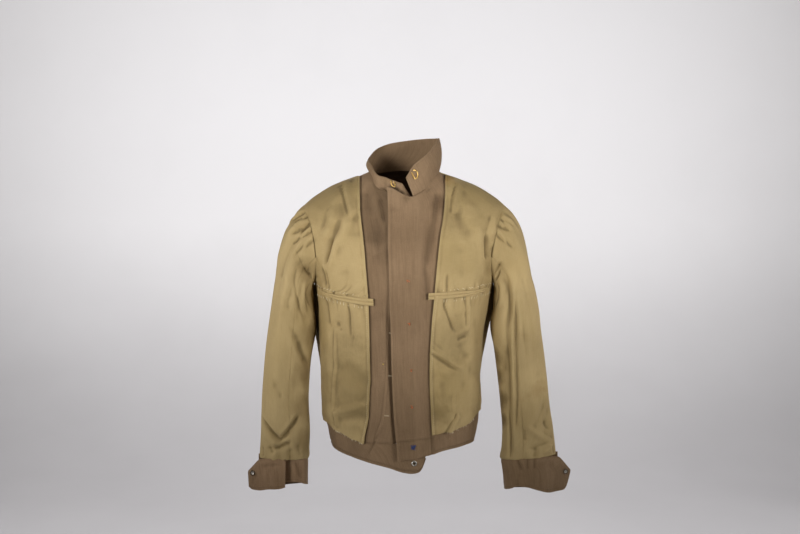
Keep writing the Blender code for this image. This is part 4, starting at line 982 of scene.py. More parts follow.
def shade_group(name, inputs, outputs):
    """An empty shader group: its inputs by name and kind of socket, its outputs all values."""
    tree = bpy.data.node_groups.new(name, "ShaderNodeTree")
    for label, kind in inputs:
        tree.interface.new_socket(label, in_out="INPUT", socket_type="NodeSocket" + kind)
    for label in outputs:
        tree.interface.new_socket(label, in_out="OUTPUT", socket_type="NodeSocketFloat")
    return tree, tree.nodes.new("NodeGroupInput"), tree.nodes.new("NodeGroupOutput")


def noise_node(tree, vector, scale, detail, rough=0.55):
    """Noise at a number of cells to the metre."""
    made = tree.nodes.new("ShaderNodeTexNoise")
    made.inputs["Scale"].default_value = scale
    made.inputs["Detail"].default_value = detail
    made.inputs["Roughness"].default_value = rough
    tree.links.new(vector, made.inputs["Vector"])
    return made.outputs["Fac"]


def stretch(tree, vector, scale, turn=0.0):
    """A vector stretched by three factors and turned in the cloth's plane."""
    made = tree.nodes.new("ShaderNodeMapping")
    made.inputs["Rotation"].default_value = (0.0, 0.0, turn)
    made.inputs["Scale"].default_value = scale
    tree.links.new(vector, made.inputs["Vector"])
    return made.outputs["Vector"]


def remap(tree, value, low, high, to_low=0.0, to_high=1.0):
    """A value moved from one range to another, held at its ends."""
    made = tree.nodes.new("ShaderNodeMapRange")
    made.clamp = True
    for label, number in (("From Min", low), ("From Max", high), ("To Min", to_low), ("To Max", to_high)):
        made.inputs[label].default_value = number
    tree.links.new(value, made.inputs["Value"])
    return made.outputs["Result"]


def arith(tree, operation, first, second):
    """One sum of two values, or of a value and a number."""
    made = tree.nodes.new("ShaderNodeMath")
    made.operation = operation
    for socket, value in zip(made.inputs, (first, second)):
        if isinstance(value, (int, float)):
            socket.default_value = value
        else:
            tree.links.new(value, socket)
    return made.outputs[0]


def blend(tree, share, first, second, way="MIX"):
    """Two colours mixed by a share; each is a socket or a plain colour."""
    made = tree.nodes.new("ShaderNodeMix")
    made.data_type = "RGBA"
    made.blend_type = way
    for socket, value in zip((made.inputs[0], made.inputs[6], made.inputs[7]), (share, first, second)):
        if isinstance(value, (int, float)):
            socket.default_value = value
        elif isinstance(value, tuple):
            socket.default_value = (*value, 1.0)
        else:
            tree.links.new(value, socket)
    return made.outputs[2]


def tinted(tree, colour, mask, share, other, way="MIX"):
    """A colour moved towards another, or multiplied by it, by a share of a mask."""
    return blend(tree, arith(tree, "MULTIPLY", mask, share), colour, other, way)


def weave_group():
    """Woven cloth: slanting twill lines and uneven yarns both ways, as a height, a tint and streaks."""
    tree, given, result = shade_group(
        "twill_weave", [("Vector", "Vector"), ("Lines", "Float")], ["Height", "Tint", "Streak"])
    cloth_way = given.outputs["Vector"]
    lines = tree.nodes.new("ShaderNodeTexWave")
    lines.inputs["Distortion"].default_value = 0.6
    lines.inputs["Detail"].default_value = 1.0
    tree.links.new(stretch(tree, cloth_way, (1.0, 1.0, 1.0), 1.05), lines.inputs["Vector"])
    tree.links.new(given.outputs["Lines"], lines.inputs["Scale"])
    warp = noise_node(tree, stretch(tree, cloth_way, (1500.0, 60.0, 1.0)), 1.0, 2.0)
    weft = noise_node(tree, stretch(tree, cloth_way, (60.0, 1500.0, 1.0)), 1.0, 2.0)
    yarns = arith(tree, "ADD", warp, weft)
    height = arith(tree, "ADD", arith(tree, "MULTIPLY", lines.outputs["Fac"], 0.5), yarns)
    tree.links.new(height, result.inputs["Height"])
    tree.links.new(remap(tree, yarns, 0.75, 1.25), result.inputs["Tint"])
    streak = noise_node(tree, stretch(tree, cloth_way, (330.0, 16.0, 1.0)), 1.0, 3.0, 0.6)
    tree.links.new(remap(tree, streak, 0.42, 0.66), result.inputs["Streak"])
    return tree


def wear_group():
    """Age: broad uneven fading, small stains and a fine speckle, as three masks."""
    tree, given, result = shade_group("wear", [("Vector", "Vector")], ["Fade", "Stain", "Speckle"])
    for label, scale, detail, rough, low, high in (
            ("Fade", 7.0, 4.0, 0.55, 0.35, 0.65), ("Stain", 16.0, 5.0, 0.62, 0.60, 0.74),
            ("Speckle", 420.0, 3.0, 0.7, 0.40, 0.66)):
        mask = remap(tree, noise_node(tree, given.outputs["Vector"], scale, detail, rough), low, high)
        tree.links.new(mask, result.inputs[label])
    return tree


def stain_and_shade_group():
    """A patch for painted shade, painted light and stains: full within 0.7 of its radius, fading unevenly to
    none at 1.8 of it.
    """
    tree, given, result = shade_group(
        "stain_and_shade_patch", [("Vector", "Vector"), ("Centre", "Vector"), ("Radius", "Float")], ["Mask"])
    apart = tree.nodes.new("ShaderNodeVectorMath")
    apart.operation = "DISTANCE"
    tree.links.new(given.outputs["Vector"], apart.inputs[0])
    tree.links.new(given.outputs["Centre"], apart.inputs[1])
    share = arith(tree, "DIVIDE", apart.outputs["Value"], given.outputs["Radius"])
    uneven = noise_node(tree, given.outputs["Vector"], 26.0, 4.0, 0.6)
    share = arith(tree, "ADD", share, remap(tree, uneven, 0.3, 0.7, -0.35, 0.35))
    tree.links.new(remap(tree, share, 0.7, 1.8, 1.0, 0.0), result.inputs["Mask"])
    return tree


def crease_shading_group():
    """Creases by relief, as two masks: painted shade in troughs and painted highlight on ridges."""
    tree, given, result = shade_group("crease_painted_shade", [("Relief", "Float")], ["Trough", "Ridge"])
    tree.links.new(remap(tree, given.outputs["Relief"], -0.05, -1.00), result.inputs["Trough"])
    tree.links.new(remap(tree, given.outputs["Relief"], 0.10, 0.90), result.inputs["Ridge"])
    return tree


def use_group(tree, made, **values):
    """A group node with its sockets linked or set."""
    node = tree.nodes.new("ShaderNodeGroup")
    node.node_tree = made
    for label, value in values.items():
        if isinstance(value, (int, float, tuple)):
            node.inputs[label].default_value = value
        else:
            tree.links.new(value, node.inputs[label])
    return node


def new_material(name, sheen=0.0, sheen_tint=(1.0, 1.0, 1.0)):
    """A material with its shader, its Object and UV coordinates at hand."""
    stuff = bpy.data.materials.new(name)
    stuff.use_nodes = True
    tree = stuff.node_tree
    shader = tree.nodes["Principled BSDF"]
    shader.inputs["Sheen Weight"].default_value = sheen
    shader.inputs["Sheen Roughness"].default_value = 0.5
    shader.inputs["Sheen Tint"].default_value = (*sheen_tint, 1.0)
    places = tree.nodes.new("ShaderNodeTexCoord")
    return stuff, tree, shader, places


def bump(tree, shader, height, distance):
    """A fine surface: a height by a distance in metres, as the shader's normal."""
    made = tree.nodes.new("ShaderNodeBump")
    made.inputs["Distance"].default_value = distance
    made.inputs["Strength"].default_value = 1.0
    tree.links.new(height, made.inputs["Height"])
    tree.links.new(made.outputs["Normal"], shader.inputs["Normal"])


def cloth_material(name, look, patch_rows):
    """Woven cloth: fading, stains, weave and fibres in the colour, painted shade in creases and painted
    highlight on ridges, patches of painted light and shade, with a fine bump.
    """
    stuff, tree, shader, places = new_material(name, look.sheen, look.pale)
    weave = use_group(tree, WEAVE, Vector=places.outputs["UV"], Lines=look.lines)
    wear = use_group(tree, WEAR, Vector=places.outputs["Object"])
    relief = tree.nodes.new("ShaderNodeAttribute")
    relief.attribute_name = "relief"
    creases = use_group(tree, CREASE_SHADING, Relief=relief.outputs["Fac"])
    colour = blend(tree, wear.outputs["Fade"], look.main, look.pale)
    # Stains, weave tint, fibres and streaks, then painted highlight on the creases' ridges
    for node, label, share, other in (
            (wear, "Stain", 0.45, look.stain), (weave, "Tint", 0.30, look.dark),
            (wear, "Speckle", look.fuzz, look.pale), (weave, "Streak", look.streaks, look.dark),
            (creases, "Ridge", 0.30, look.pale)):
        colour = tinted(tree, colour, node.outputs[label], share, other)
    # Painted shade in the creases' troughs
    colour = tinted(tree, colour, creases.outputs["Trough"], look.troughs, TROUGH_SHADE, "MULTIPLY")
    # Patches of painted shade and painted light, with one real stain on the lining, multiplied into the
    # colour
    for patch_row in patch_rows:
        patch = use_group(tree, STAIN_AND_SHADE, Vector=places.outputs["Object"], Centre=patch_row.centre, Radius=patch_row.radius)
        colour = tinted(tree, colour, patch.outputs["Mask"], patch_row.share, patch_row.colour, "MULTIPLY")
    tree.links.new(colour, shader.inputs["Base Color"])
    tree.links.new(remap(tree, wear.outputs["Fade"], 0.0, 1.0, 0.78, 0.92), shader.inputs["Roughness"])
    bump(tree, shader, arith(tree, "ADD", weave.outputs["Height"], wear.outputs["Speckle"]), look.depth)
    return stuff


def metal_material(name, bright, dull):
    """Worn metal: bright where rubbed, dull where tarnished."""
    stuff, tree, shader, places = new_material(name)
    grain = noise_node(tree, places.outputs["Object"], 900.0, 4.0, 0.65)
    tarnish = remap(tree, grain, 0.40, 0.62)
    tree.links.new(blend(tree, tarnish, bright, dull), shader.inputs["Base Color"])
    tree.links.new(remap(tree, grain, 0.35, 0.65, 0.28, 0.55), shader.inputs["Roughness"])
    shader.inputs["Metallic"].default_value = 1.0
    bump(tree, shader, grain, 0.0001)
    return stuff


def thread_material(name, main, dark):
    """Spun thread: uneven colour and a twisted surface."""
    stuff, tree, shader, places = new_material(name, 0.2)
    twist = noise_node(tree, places.outputs["Object"], 1600.0, 2.0)
    tree.links.new(blend(tree, remap(tree, twist, 0.35, 0.65), main, dark), shader.inputs["Base Color"])
    tree.links.new(remap(tree, twist, 0.3, 0.7, 0.7, 0.95), shader.inputs["Roughness"])
    bump(tree, shader, twist, 0.0002)
    return stuff


def backdrop_material():
    """Pale matt paper with painted shade that darkens it towards the floor, and a slight unevenness."""
    stuff, tree, shader, places = new_material("pale_backdrop")
    uneven = noise_node(tree, places.outputs["Object"], 2.0, 3.0)
    split = tree.nodes.new("ShaderNodeSeparateXYZ")
    tree.links.new(places.outputs["Object"], split.inputs["Vector"])
    # Painted shade: darker towards the floor, smoothly
    share = remap(tree, split.outputs["Z"], -1.15, 0.15)
    share.node.interpolation_type = "SMOOTHSTEP"
    share = arith(tree, "ADD", share, remap(tree, uneven, 0.3, 0.7, -0.04, 0.04))
    tree.links.new(blend(tree, share, BACKDROP_PAINTED_SHADE, BACKDROP), shader.inputs["Base Color"])
    tree.links.new(remap(tree, uneven, 0.3, 0.7, 0.85, 0.95), shader.inputs["Roughness"])
    return stuff


def seam_turn(level):
    """Half a seam's space, as an angle at the side and shoulder seams."""
    return SEAM / 2.0 / ring("front", level)


def spread(start, end, shares):
    """Columns from one edge to the other: arrays of both edges, row by row."""
    return start[:, None] + (end - start)[:, None] * shares[None, :]


def level_rows(rows, angle):
    """Levels of a grid, the same all along each of its rows."""
    return np.repeat(rows[:, None], angle.shape[1], axis=1)


def suffix(side):
    """Ending of a piece's name: l for the wearer's left, r for the right."""
    return "l" if side > 0 else "r"


def facing_name(side):
    """Name of a side's facing."""
    return "facing_" + suffix(side)


def shoulder_top(side):
    """Level where the facing's seam runs into the shoulder seam."""
    level = np.linspace(SHOULDER_HEAD, NECK_LEVEL, 200)
    facing = np.abs(lookup(FRONT, "level", facing_name(side), level))
    return level[np.argmin(np.abs(ring("half_width", level) - facing - 0.003))]


def arm_rows(low, high):
    """Rows from a low level past the armhole to a high one, close together where the armhole turns."""
    turns = np.radians(np.linspace(177.0, 3.0, 56))
    arm = ARM_LEVEL + ARM_RISE * np.cos(turns)
    under = np.linspace(low, arm[0], max(int((arm[0] - low) / CELL) + 1, 4))[:-1]
    over = np.linspace(arm[-1], high, int((high - arm[-1]) / CELL) + 1)[1:]
    rows = np.concatenate([under, arm, over])
    turned = np.array([0.0007, 0.0022])
    return np.sort(np.concatenate([rows, rows[0] + turned, rows[-1] - turned]))


def on_body(angle, level, height):
    """Points `height` off the worn form with its folds."""
    place = plain_torso(angle, level)
    return place + torso_normals(angle, level) * (height + body_folds(place))[..., None]


def lining_relief(angle, level, seed):
    """Unevenness of the lining, in lengths round and up the body."""
    return ripple(BODY_GIRTH * angle, level, LINING_WAVE, seed)


def lining_edge(side, level):
    """Angle of the lining's turned edge, which lies over the facing."""
    return front_line(facing_name(side), level) - side * LAP / ring("half_width", level)


def front_edges(side, near, along):
    """Lining beside the facing: its turned edge lies on the facing's wool."""
    lap = 0.0024 * ease((0.009 - near) / 0.008)
    return lap + 0.0004 * noise(along / 0.018, near / 0.02, 11 + side) * np.exp(-near / 0.012)


def front_upper(side):
    """Shoulder and chest of one front: smooth chest, gathers at the pocket seam, turned armhole edge."""
    rows = arm_rows(POCKET_LEVEL, shoulder_top(side))
    edges = lining_edge(side, rows), side * (np.pi / 2.0 - arm_edge(rows, True) - seam_turn(rows))
    angle = spread(*edges[::side], close_shares(0.13, FINE_CELL))
    level = level_rows(rows, angle)
    drop = 1.0 - ease((level - POCKET_LEVEL) / 0.075)
    level = level + drop * (pocket_line(side, angle) - POCKET_LEVEL)
    first, last, up, down = lengths(plain_torso(angle, level))
    near, far = (first, last)[::side]
    height = lining_relief(angle, level, 3) + front_edges(side, near, up)
    height += edge_relief(up, first, GATHERS_ABOVE, 21 + side) * ease((far - 0.014) / 0.030)
    height += edge_relief(far, up, ARMHOLE_EDGE, 31 + side) * ease((-0.050 - level) / 0.025)
    height += edge_relief(down, first, SHOULDER_EDGE, 41 + side)
    return cloth("front_upper_" + suffix(side), on_body(angle, level, height), LINING, (khaki, serge))


def edges_of_lower(side, level):
    """Both upright edges of a lower front, left to right as seen from the front."""
    return (lining_edge(side, level), side * (np.pi / 2.0 - seam_turn(level)))[::side]


def front_lower(side):
    """One front below the pocket: gathers under the welt, a loose uneven hem over the waistband."""
    share = close_shares(0.29, FINE_CELL)
    columns = close_shares(0.15, FINE_CELL)
    angle = spread(*edges_of_lower(side, HEM_LEVEL + 0.295 * share), columns)
    for _ in range(3):
        low = foot("hem", angle[0]) + 0.0016 * noise(angle[0] / 0.09, angle[0] * 0.0, 5)
        high = pocket_line(side, angle[-1])
        level = low[None, :] + (high - low)[None, :] * share[:, None]
        start, end = edges_of_lower(side, level)
        angle = start + (end - start) * columns[None, :]
    first, last, up, down = lengths(plain_torso(angle, level))
    near, far = (first, last)[::side]
    height = 1.25 * lining_relief(angle, level, 7) + front_edges(side, near, up)
    height += edge_relief(down, first, GATHERS_BELOW, 51 + side) * ease((far - 0.030) / 0.030)
    height += edge_relief(far, up, SIDE_EDGE, 61 + side)
    height += 0.0020 * np.exp(-up / 0.018) * (0.6 + noise(first / 0.024, up / 0.05, 71 + side))
    return cloth("front_lower_" + suffix(side), on_body(angle, level, height), LINING, (khaki, serge))


def back_panel():
    """The back from side seam to side seam, with the armholes cut out and the neckline at its top."""
    rows = np.concatenate([np.linspace(HEM_LEVEL, POCKET_LEVEL, 84)[:-1], arm_rows(POCKET_LEVEL, NECK_LEVEL)])
    edge = np.pi / 2.0 + arm_edge(rows) + seam_turn(rows)
    angle = spread(edge, 2.0 * np.pi - edge, close_shares(0.56, 1.35 * CELL))
    level = level_rows(rows, angle)
    turned = (angle + np.pi) % (2.0 * np.pi) - np.pi
    share = np.clip((level - HEM_LEVEL) / (POCKET_LEVEL - HEM_LEVEL), 0.0, 1.0)
    level = level + (1.0 - share) * (foot("hem", turned) - HEM_LEVEL)
    first, last, up, _ = lengths(plain_torso(angle, level))
    height = 1.2 * lining_relief(angle, level, 13)
    height += edge_relief(first, up, BACK_EDGE, 81) + edge_relief(last, up, BACK_EDGE, 82)
    height += 0.0018 * np.exp(-up / 0.016) * (0.6 + noise(first / 0.028, up / 0.05, 83))
    cloth("back_lining", on_body(angle, level, height), LINING, (khaki, serge))


def wool_relief(angle, level, seed):
    """Slow unevenness of the thick wool."""
    return ripple(BODY_GIRTH * angle, level, WOOL_WAVE, seed)


def fly_hollow(x, level):
    """The hollow under the overlap's free edge, which stands off in its lower half."""
    aside = x - lookup(FRONT, "level", "edge", level)
    return bead_relief(aside, FLY_HOLLOW) * ease((-0.262 - level) / 0.06)


def right_facing():
    """The wearer's right facing, from under the lining to its edge behind the overlap."""
    rows = FACING_FOOT + (FACING_TOP - FACING_FOOT) * close_shares(0.56, CELL)
    start = front_line("facing_r", rows) - FACING_TUCK / ring("half_width", rows)
    start = np.maximum(start, seam_turn(rows) - np.pi / 2.0)
    angle = spread(start, angle_at(UNDER_EDGE, rows), close_shares(0.10, CELL))
    level = level_rows(rows, angle)
    place = plain_torso(angle, level)
    from_lining = place[..., 0] - lookup(FRONT, "level", "facing_r", level) - LAP
    height = FACING_LIFT + wool_relief(angle, level, 17) + folds_on(place, FACING_R_FOLDS)
    height += bead_relief(from_lining, LINING_GROOVE) + fly_hollow(place[..., 0], level)
    # The right facing takes a darker copy of the wool with painted shade
    return cloth("facing_r", on_body(angle, level, height), WOOL, (serge_shaded, khaki))


def left_facing():
    """The wearer's left facing: under the lining at its seam, lifted over the right front, edge standing off.

    Its top corner is raised and lifts off, and a shallow step shows where the waistband is joined on."""
    rows = OVERLAP_FOOT + (FACING_TOP - OVERLAP_FOOT) * close_shares(0.59, CELL)
    end = front_line("facing_l", rows) + FACING_TUCK / ring("half_width", rows)
    end = np.minimum(end, np.pi / 2.0 - seam_turn(rows))
    shares = close_shares(0.10, CELL)
    angle = spread(front_line("edge", rows), end, shares)
    level = level_rows(rows, angle)
    x = ring("half_width", level) * np.sin(angle)
    low = 1.0 - ease((level - OVERLAP_FOOT) / 0.030)
    level = level - 0.011 * low * (1.0 - shares)[None, :]
    high = ease((level - FACING_TOP + 0.030) / 0.030)
    level = level + high * lookup(LAPEL, "x", "rise", x)
    angle = angle_at(x + ring("centre", level), level)
    place = plain_torso(angle, level)
    from_edge, _, _, from_top = lengths(place)
    from_lining = lookup(FRONT, "level", "facing_l", level) - LAP - place[..., 0]
    over = ease((0.052 - x) / 0.026)
    loose = ease((-0.200 - level) / 0.15) * ease((0.004 - x) / 0.030)
    height = FACING_LIFT + (OVERLAP_LIFT - FACING_LIFT) * over + EDGE_LIFT * loose
    height += wool_relief(angle, level, 19) + folds_on(place, FACING_L_FOLDS)
    height -= JOIN_STEP * ease((BAND_JOIN - level + 0.010 * np.sin(angle)) / 0.0025)
    height += 0.0012 * noise(level / 0.060, x * 0.0, 23) * ease((0.010 - x) / 0.040)
    height += LAPEL_LIFT * ease((level + 0.020) / 0.035) * ease((0.006 - place[..., 0]) / 0.024)
    height += bead_relief(from_lining, LINING_GROOVE)
    height += bead_relief(from_edge, OVERLAP_ROLL) + bead_relief(from_edge, OVERLAP_STITCH)
    height += bead_relief(from_top, LAPEL_ROLL) * ease((0.020 - x) / 0.020)
    return cloth("facing_l", on_body(angle, level, height), WOOL, (serge, khaki))


def fly():
    """The button fly strip, lying on the right facing."""
    foot_level = FACING_FOOT + 0.004
    rows = foot_level + (STRIP_TOP - foot_level) * close_shares(0.30, CELL)
    angle = spread(front_line("fly", rows), angle_at(STRIP_EDGE, rows), close_shares(0.045, CELL))
    level = level_rows(rows, angle)
    place = plain_torso(angle, level)
    first, _, up, _ = lengths(place)
    height = FACING_LIFT + STRIP_LIFT + wool_relief(angle, level, 17) + fly_hollow(place[..., 0], level)
    height += edge_relief(first, up, FLY_EDGE, 91)
    return cloth("fly_strip", on_body(angle, level, height), STRIP, (serge, serge))


def welt(side):
    """A jetted pocket edge: two rounded lips with a slit between, lying along the pocket seam."""
    inner, outer = WELT_INNER_X[side], WELT_OUTER_X[side]
    angle = side * angle_at(inner + (outer - inner) * close_shares(0.12, CELL), -0.25)[::side]
    tall = WELT_TALL * (0.55 + 0.45 * ease((1.05 - np.abs(angle)) / 0.5))
    lip = np.array([0.0, 0.04, 0.12, 0.2, 0.28, 0.36, 0.44, 0.48])
    share = np.concatenate([lip, [0.5], 1.0 - lip[::-1]])
    level = pocket_line(side, angle)[None, :] + tall[None, :] * (share[:, None] - 0.5)
    angle = np.repeat(angle[None, :], len(share), axis=0)
    lips = 0.0022 * np.sqrt(np.abs(np.sin(2.0 * np.pi * share)))[:, None] - 0.0004
    height = WELT_LIFT + lips + 0.0004 * noise(angle / 0.08, level / 0.02, 101 + side)
    cloth("welt_" + suffix(side), on_body(angle, level, height), STRIP, (khaki, khaki))


def band(name, first, last):
    """A length of waistband, from behind the lining hem to its lower edge, with a stitched lower edge."""
    columns = np.radians(first + (last - first) * close_shares(np.radians(last - first) * 0.14, CELL))
    turned = (columns + np.pi) % (2.0 * np.pi) - np.pi
    in_front = turned < np.radians(20.0)
    bare = ease((turned + np.radians(38.0)) / np.radians(6.5)) * in_front
    high = foot("hem", turned) + BAND_TUCK
    high = high + bare * (FACING_FOOT - 0.0004 - high)
    low = foot("band", turned)
    share = close_shares(0.06, 0.0025)
    level = low[None, :] + (high - low)[None, :] * share[:, None]
    under = ease((turned + np.radians(28.0)) / np.radians(18.0)) * in_front
    lift = BAND_LIFT + (TAB_LIFT - BAND_LIFT) * under
    angle = np.repeat(columns[None, :], len(share), axis=0)
    if name == "waistband_l":
        start = front_line("facing_l", level) + 0.0004
        angle = start + (angle[:, -1:] - start) * np.linspace(0.0, 1.0, len(columns))[None, :]
    _, _, up, _ = lengths(plain_torso(angle, level))
    height = lift[None, :] + ripple(0.14 * angle, level, BAND_WAVE, 29) + bead_relief(up, BAND_STITCH)
    return cloth(name, on_body(angle, level, height), WOOL, (serge, serge))


def sleeve_piece(name, side, first, last):
    """One piece of a two-piece sleeve: creases, turned seams, gathers at its head, a puffed hem."""
    span = np.radians(last - first)
    turns = np.radians(first) + span * close_shares(span * SLEEVE_GIRTH, 0.85 * CELL)
    body_rows = 0.5 + 5.546 * close_shares(0.41, CELL)
    head = -0.085 if first > 0.0 else -0.030
    turn, row = np.meshgrid(turns, np.concatenate([np.linspace(head, 0.48, 36), body_rows[3:]]))
    row = row + 0.018 * noise(turn / 0.34, row * 0.0, 111 + side) * ease((row - 5.6) / 0.4)
    place = sleeve(side, turn, row)
    normal = side * normals(lambda a, b: sleeve(side, a, b), turn, row, 0.002, 0.004)
    start, end, up, down = lengths(place)
    height = sleeve_folds(side, turn, row)
    height += ripple(SLEEVE_GIRTH * turn, SLEEVE_STEP * row, SLEEVE_WAVE, 37 + side) * ease(row / 0.3)
    height += edge_relief(start, up, SLEEVE_EDGE, 121 + side) + edge_relief(end, up, SLEEVE_EDGE, 131 + side)
    height += SLEEVE_PUFF[side] * ease((row + 0.03) / 0.40) * ease((1.3 - row) / 1.0) * ease(np.cos(turn))
    height += 0.0022 * ease((0.30 - row) / 0.25) * ease((np.cos(turn) - 0.6) / 0.4)
    height += bead_relief(up, HEAD_SEAM) * ease((0.96 - np.cos(turn)) / 0.16)
    height += (0.0006 + 0.0018 * noise(turn / 0.20, row * 0.0, 151 + side)) * ease((row - 5.6) / 0.35)
    height -= 0.0012 * np.clip(1.0 - down / 0.005, 0.0, 1.0) ** 2
    cloth(name, place + normal * height[..., None], LINING, (khaki, serge), side)


def collar_face(angle, up):
    """The collar's face as it is worn: its right wing laps over the facing."""
    wing = ease((angle + 66.0) / 24.0) * ease((-32.0 - angle) / 10.0)
    lap = wing * (0.0105 - 0.0055 * up)
    return collar(angle, up - 0.12 * wing) + outwards(np.radians(angle)) * lap[..., None]


def standing_collar():
    """The collar from its wearer's left end round the back to its right end, its foot inside the neckline."""
    first, last = COLLAR[0].angle, COLLAR[-1].angle
    angle, up = np.meshgrid(first + (last - first) * close_shares(0.46, CELL),
                            -0.16 + 1.16 * close_shares(0.075, 0.0024))
    normal = normals(collar_face, angle, up, 0.1, 0.01)
    height = ripple(np.radians(angle) * 0.07, up * 0.06, COLLAR_WAVE, 43) * ease(up / 0.25)
    return cloth("collar", collar_face(angle, up) + normal * height[..., None], WOOL, (serge, serge))


def cuff_strip(side, table, folds):
    """An unfastened cuff: a strip round the wrist that ends in a free tab, with pleats under the lining."""
    length = cuff_ways(table)[-1]
    along, down = np.meshgrid(length * close_shares(length, CELL), close_shares(CUFF_TALL, 0.0026))
    place = cuff(table, along, down)
    height = folds_on(place, folds) * ease((0.010 - place[..., 1]) / 0.02)
    height += ripple(along, down * CUFF_TALL, CUFF_WAVE, 47 + side)
    height += bead_relief((1.0 - down) * CUFF_TALL, CUFF_STITCH) - 0.0016 * ease((0.12 - down) / 0.10)
    place = place + cuff_normals(side, table, along, down) * height[..., None]
    return cloth("cuff_" + suffix(side), place, WOOL, (serge, serge), -side)


def turned_snap(node, place, normal, ring_stuff, middle_stuff):
    """A snap fastener: a domed ring with a hollow, a profile of radius and height turned about the normal."""
    way = np.linspace(0.0, 1.0, len(SNAP_PROFILE))
    fine = np.linspace(0.0, 1.0, 29)
    radius, height = (smooth(way, column(SNAP_PROFILE, name), fine) for name in Stud._fields)
    aside = unit(np.cross(normal, np.array([0.0, 0.0, 1.0])))
    around = circle(aside, np.cross(normal, aside), SNAP_SIDES)
    points = place + normal * height[:, None, None] + around[None] * radius[:, None, None]
    mesh = smooth_mesh(node + "_metal", points.reshape(-1, 3), ring_faces(1, len(fine), SNAP_SIDES)[:, ::-1])
    middle = np.repeat(radius[1:] < SNAP_HOLLOW, SNAP_SIDES).astype(np.int32)
    mesh.polygons.foreach_set("material_index", middle)
    link_piece(node + "_metal", mesh, [ring_stuff, middle_stuff], [node])


def cuff_snap(side, table):
    """The snap on a cuff's tab, in from its tip."""
    along = np.array([cuff_ways(table)[-1] - CUFF_SNAP_IN])
    down = np.array([CUFF_SNAP_DOWN])
    normal = cuff_normals(side, table, along, down)[0]
    place = cuff(table, along, down)[0] + SNAP_PROUD * normal
    turned_snap("cuff_snap_" + suffix(side), place, normal, gunmetal, steel)


def tab_snap():
    """The snap on the waistband tab."""
    angle, level = (np.array([value]) for value in TAB_SNAP)
    place = on_body(angle, level, np.array([TAB_LIFT + SNAP_PROUD]))[0]
    turned_snap("waistband_snap", place, torso_normals(angle, level)[0], steel, gunmetal)


def bent_wire(node, spots):
    """A hook or eye: round wire through its spots on the collar's face, eased from one to the next."""
    way = np.arange(len(spots), dtype=float)
    fine = np.linspace(0.0, len(spots) - 1.0, 60)
    angle, up = (smooth(way, column(spots, name), fine) for name in Spot._fields)
    points = collar_face(angle, up) + normals(collar_face, angle, up, 0.1, 0.01) * (WIRE + 0.0012)
    mesh = smooth_mesh(node + "_metal", *tube(points, WIRE_SHOWN, 10))
    link_piece(node + "_metal", mesh, [brass], [node])


def loose_threads(face, spots, size, count, seed):
    """Small tangles of thread on a face: short arcs that leave the cloth and come back to it."""
    draw = np.random.default_rng(seed)
    share = np.linspace(0.0, 1.0, 7)[:, None]
    parts = []
    for x, z in spots:
        place, normal = nearest(face, x, z)
        for _ in range(count):
            ends = draw.uniform(-size, size, (2, 3))
            ends -= (ends @ normal)[:, None] * normal
            arc = place + ends[0] * (1.0 - share) + ends[1] * share
            arc = arc + normal * (0.0003 + draw.uniform(0.3, 0.8) * size * np.sin(np.pi * share))
            parts.append(tube(arc, 0.00035, THREAD_SIDES))
    return parts


def thread_piece(name, parts, stuff):
    """One piece made of many threads."""
    return link_piece(name, smooth_mesh(name, *joined(parts)), [stuff], [])


def edge_line(face, index, axis):
    """Path and normals along one row or column of a face."""
    normal = grid_normals(face)
    if axis == 0:
        return face[:, index], normal[:, index]
    return face[index], normal[index]


def highlight_ticks(face, row, count, seed):
    """Short upright threads, unevenly spaced and long, from a row of a face: pale, they are painted highlight
    for the light strokes between gathers.
    """
    draw = np.random.default_rng(seed)
    normal = grid_normals(face)
    columns = np.linspace(0.10, 0.92, count) * face.shape[1] + draw.uniform(-1.4, 1.4, count)
    parts = []
    for j, reach in zip(columns.astype(int), draw.integers(3, 6, count)):
        span = slice(row, row + reach)
        parts.append(tube(face[span, j] + 0.0005 * normal[span, j], 0.00060, THREAD_SIDES))
    return parts


def frayed(face, first, last, count, seed):
    """Loose yarns that hang from the lowest row of a face, between two shares of its width."""
    draw = np.random.default_rng(seed)
    share = np.linspace(0.0, 1.0, 4)[:, None]
    curl = np.array([0.0012, 0.0, 0.0]) * share ** 2
    parts = []
    for j in ((face.shape[1] - 1) * draw.uniform(first, last, count)).astype(int):
        fall = np.array([draw.uniform(-0.0018, 0.0018), -0.0006, -draw.uniform(0.0012, 0.0044)])
        parts.append(tube(face[1, j] + fall * share + curl, 0.00030, THREAD_SIDES))
    return parts


def bar_tack(x, z):
    """Two threads side by side across the fly strip's free edge, bowed off the cloth."""
    place, normal = nearest(strip, x, z)
    bow = np.array([[-0.0050, 0.0, 0.0], [-0.0044, -0.0012, 0.0], [0.0, -0.0016, -0.0004],
                    [0.0044, -0.0024, -0.0006], [0.0052, -0.0020, -0.0006]])
    return [tube(place + bow + np.array([0.0, 0.0, lift]) + normal * 0.0006, 0.00034, 6)
            for lift in (-0.0008, 0.0006)]


def sweep_backdrop():
    """Floor and backdrop as one sheet: level, then a quarter circle, then upright, the same all along X."""
    turn = np.linspace(0.0, np.pi / 2.0, 24)
    y = np.concatenate([[-5.0], SWEEP + SWEEP * np.sin(turn), [2.0 * SWEEP]])
    z = np.concatenate([[FLOOR], FLOOR + SWEEP * (1.0 - np.cos(turn)), [4.5]])
    x = np.linspace(-6.0, 6.0, 9)
    place = np.stack(np.broadcast_arrays(x[None, :], y[:, None], z[:, None]), axis=-1)
    mesh = smooth_mesh("backdrop", place.reshape(-1, 3), sheet_faces(len(y), len(x)))
    mesh.materials.append(backdrop_material())
    piece = add_object("backdrop", mesh)


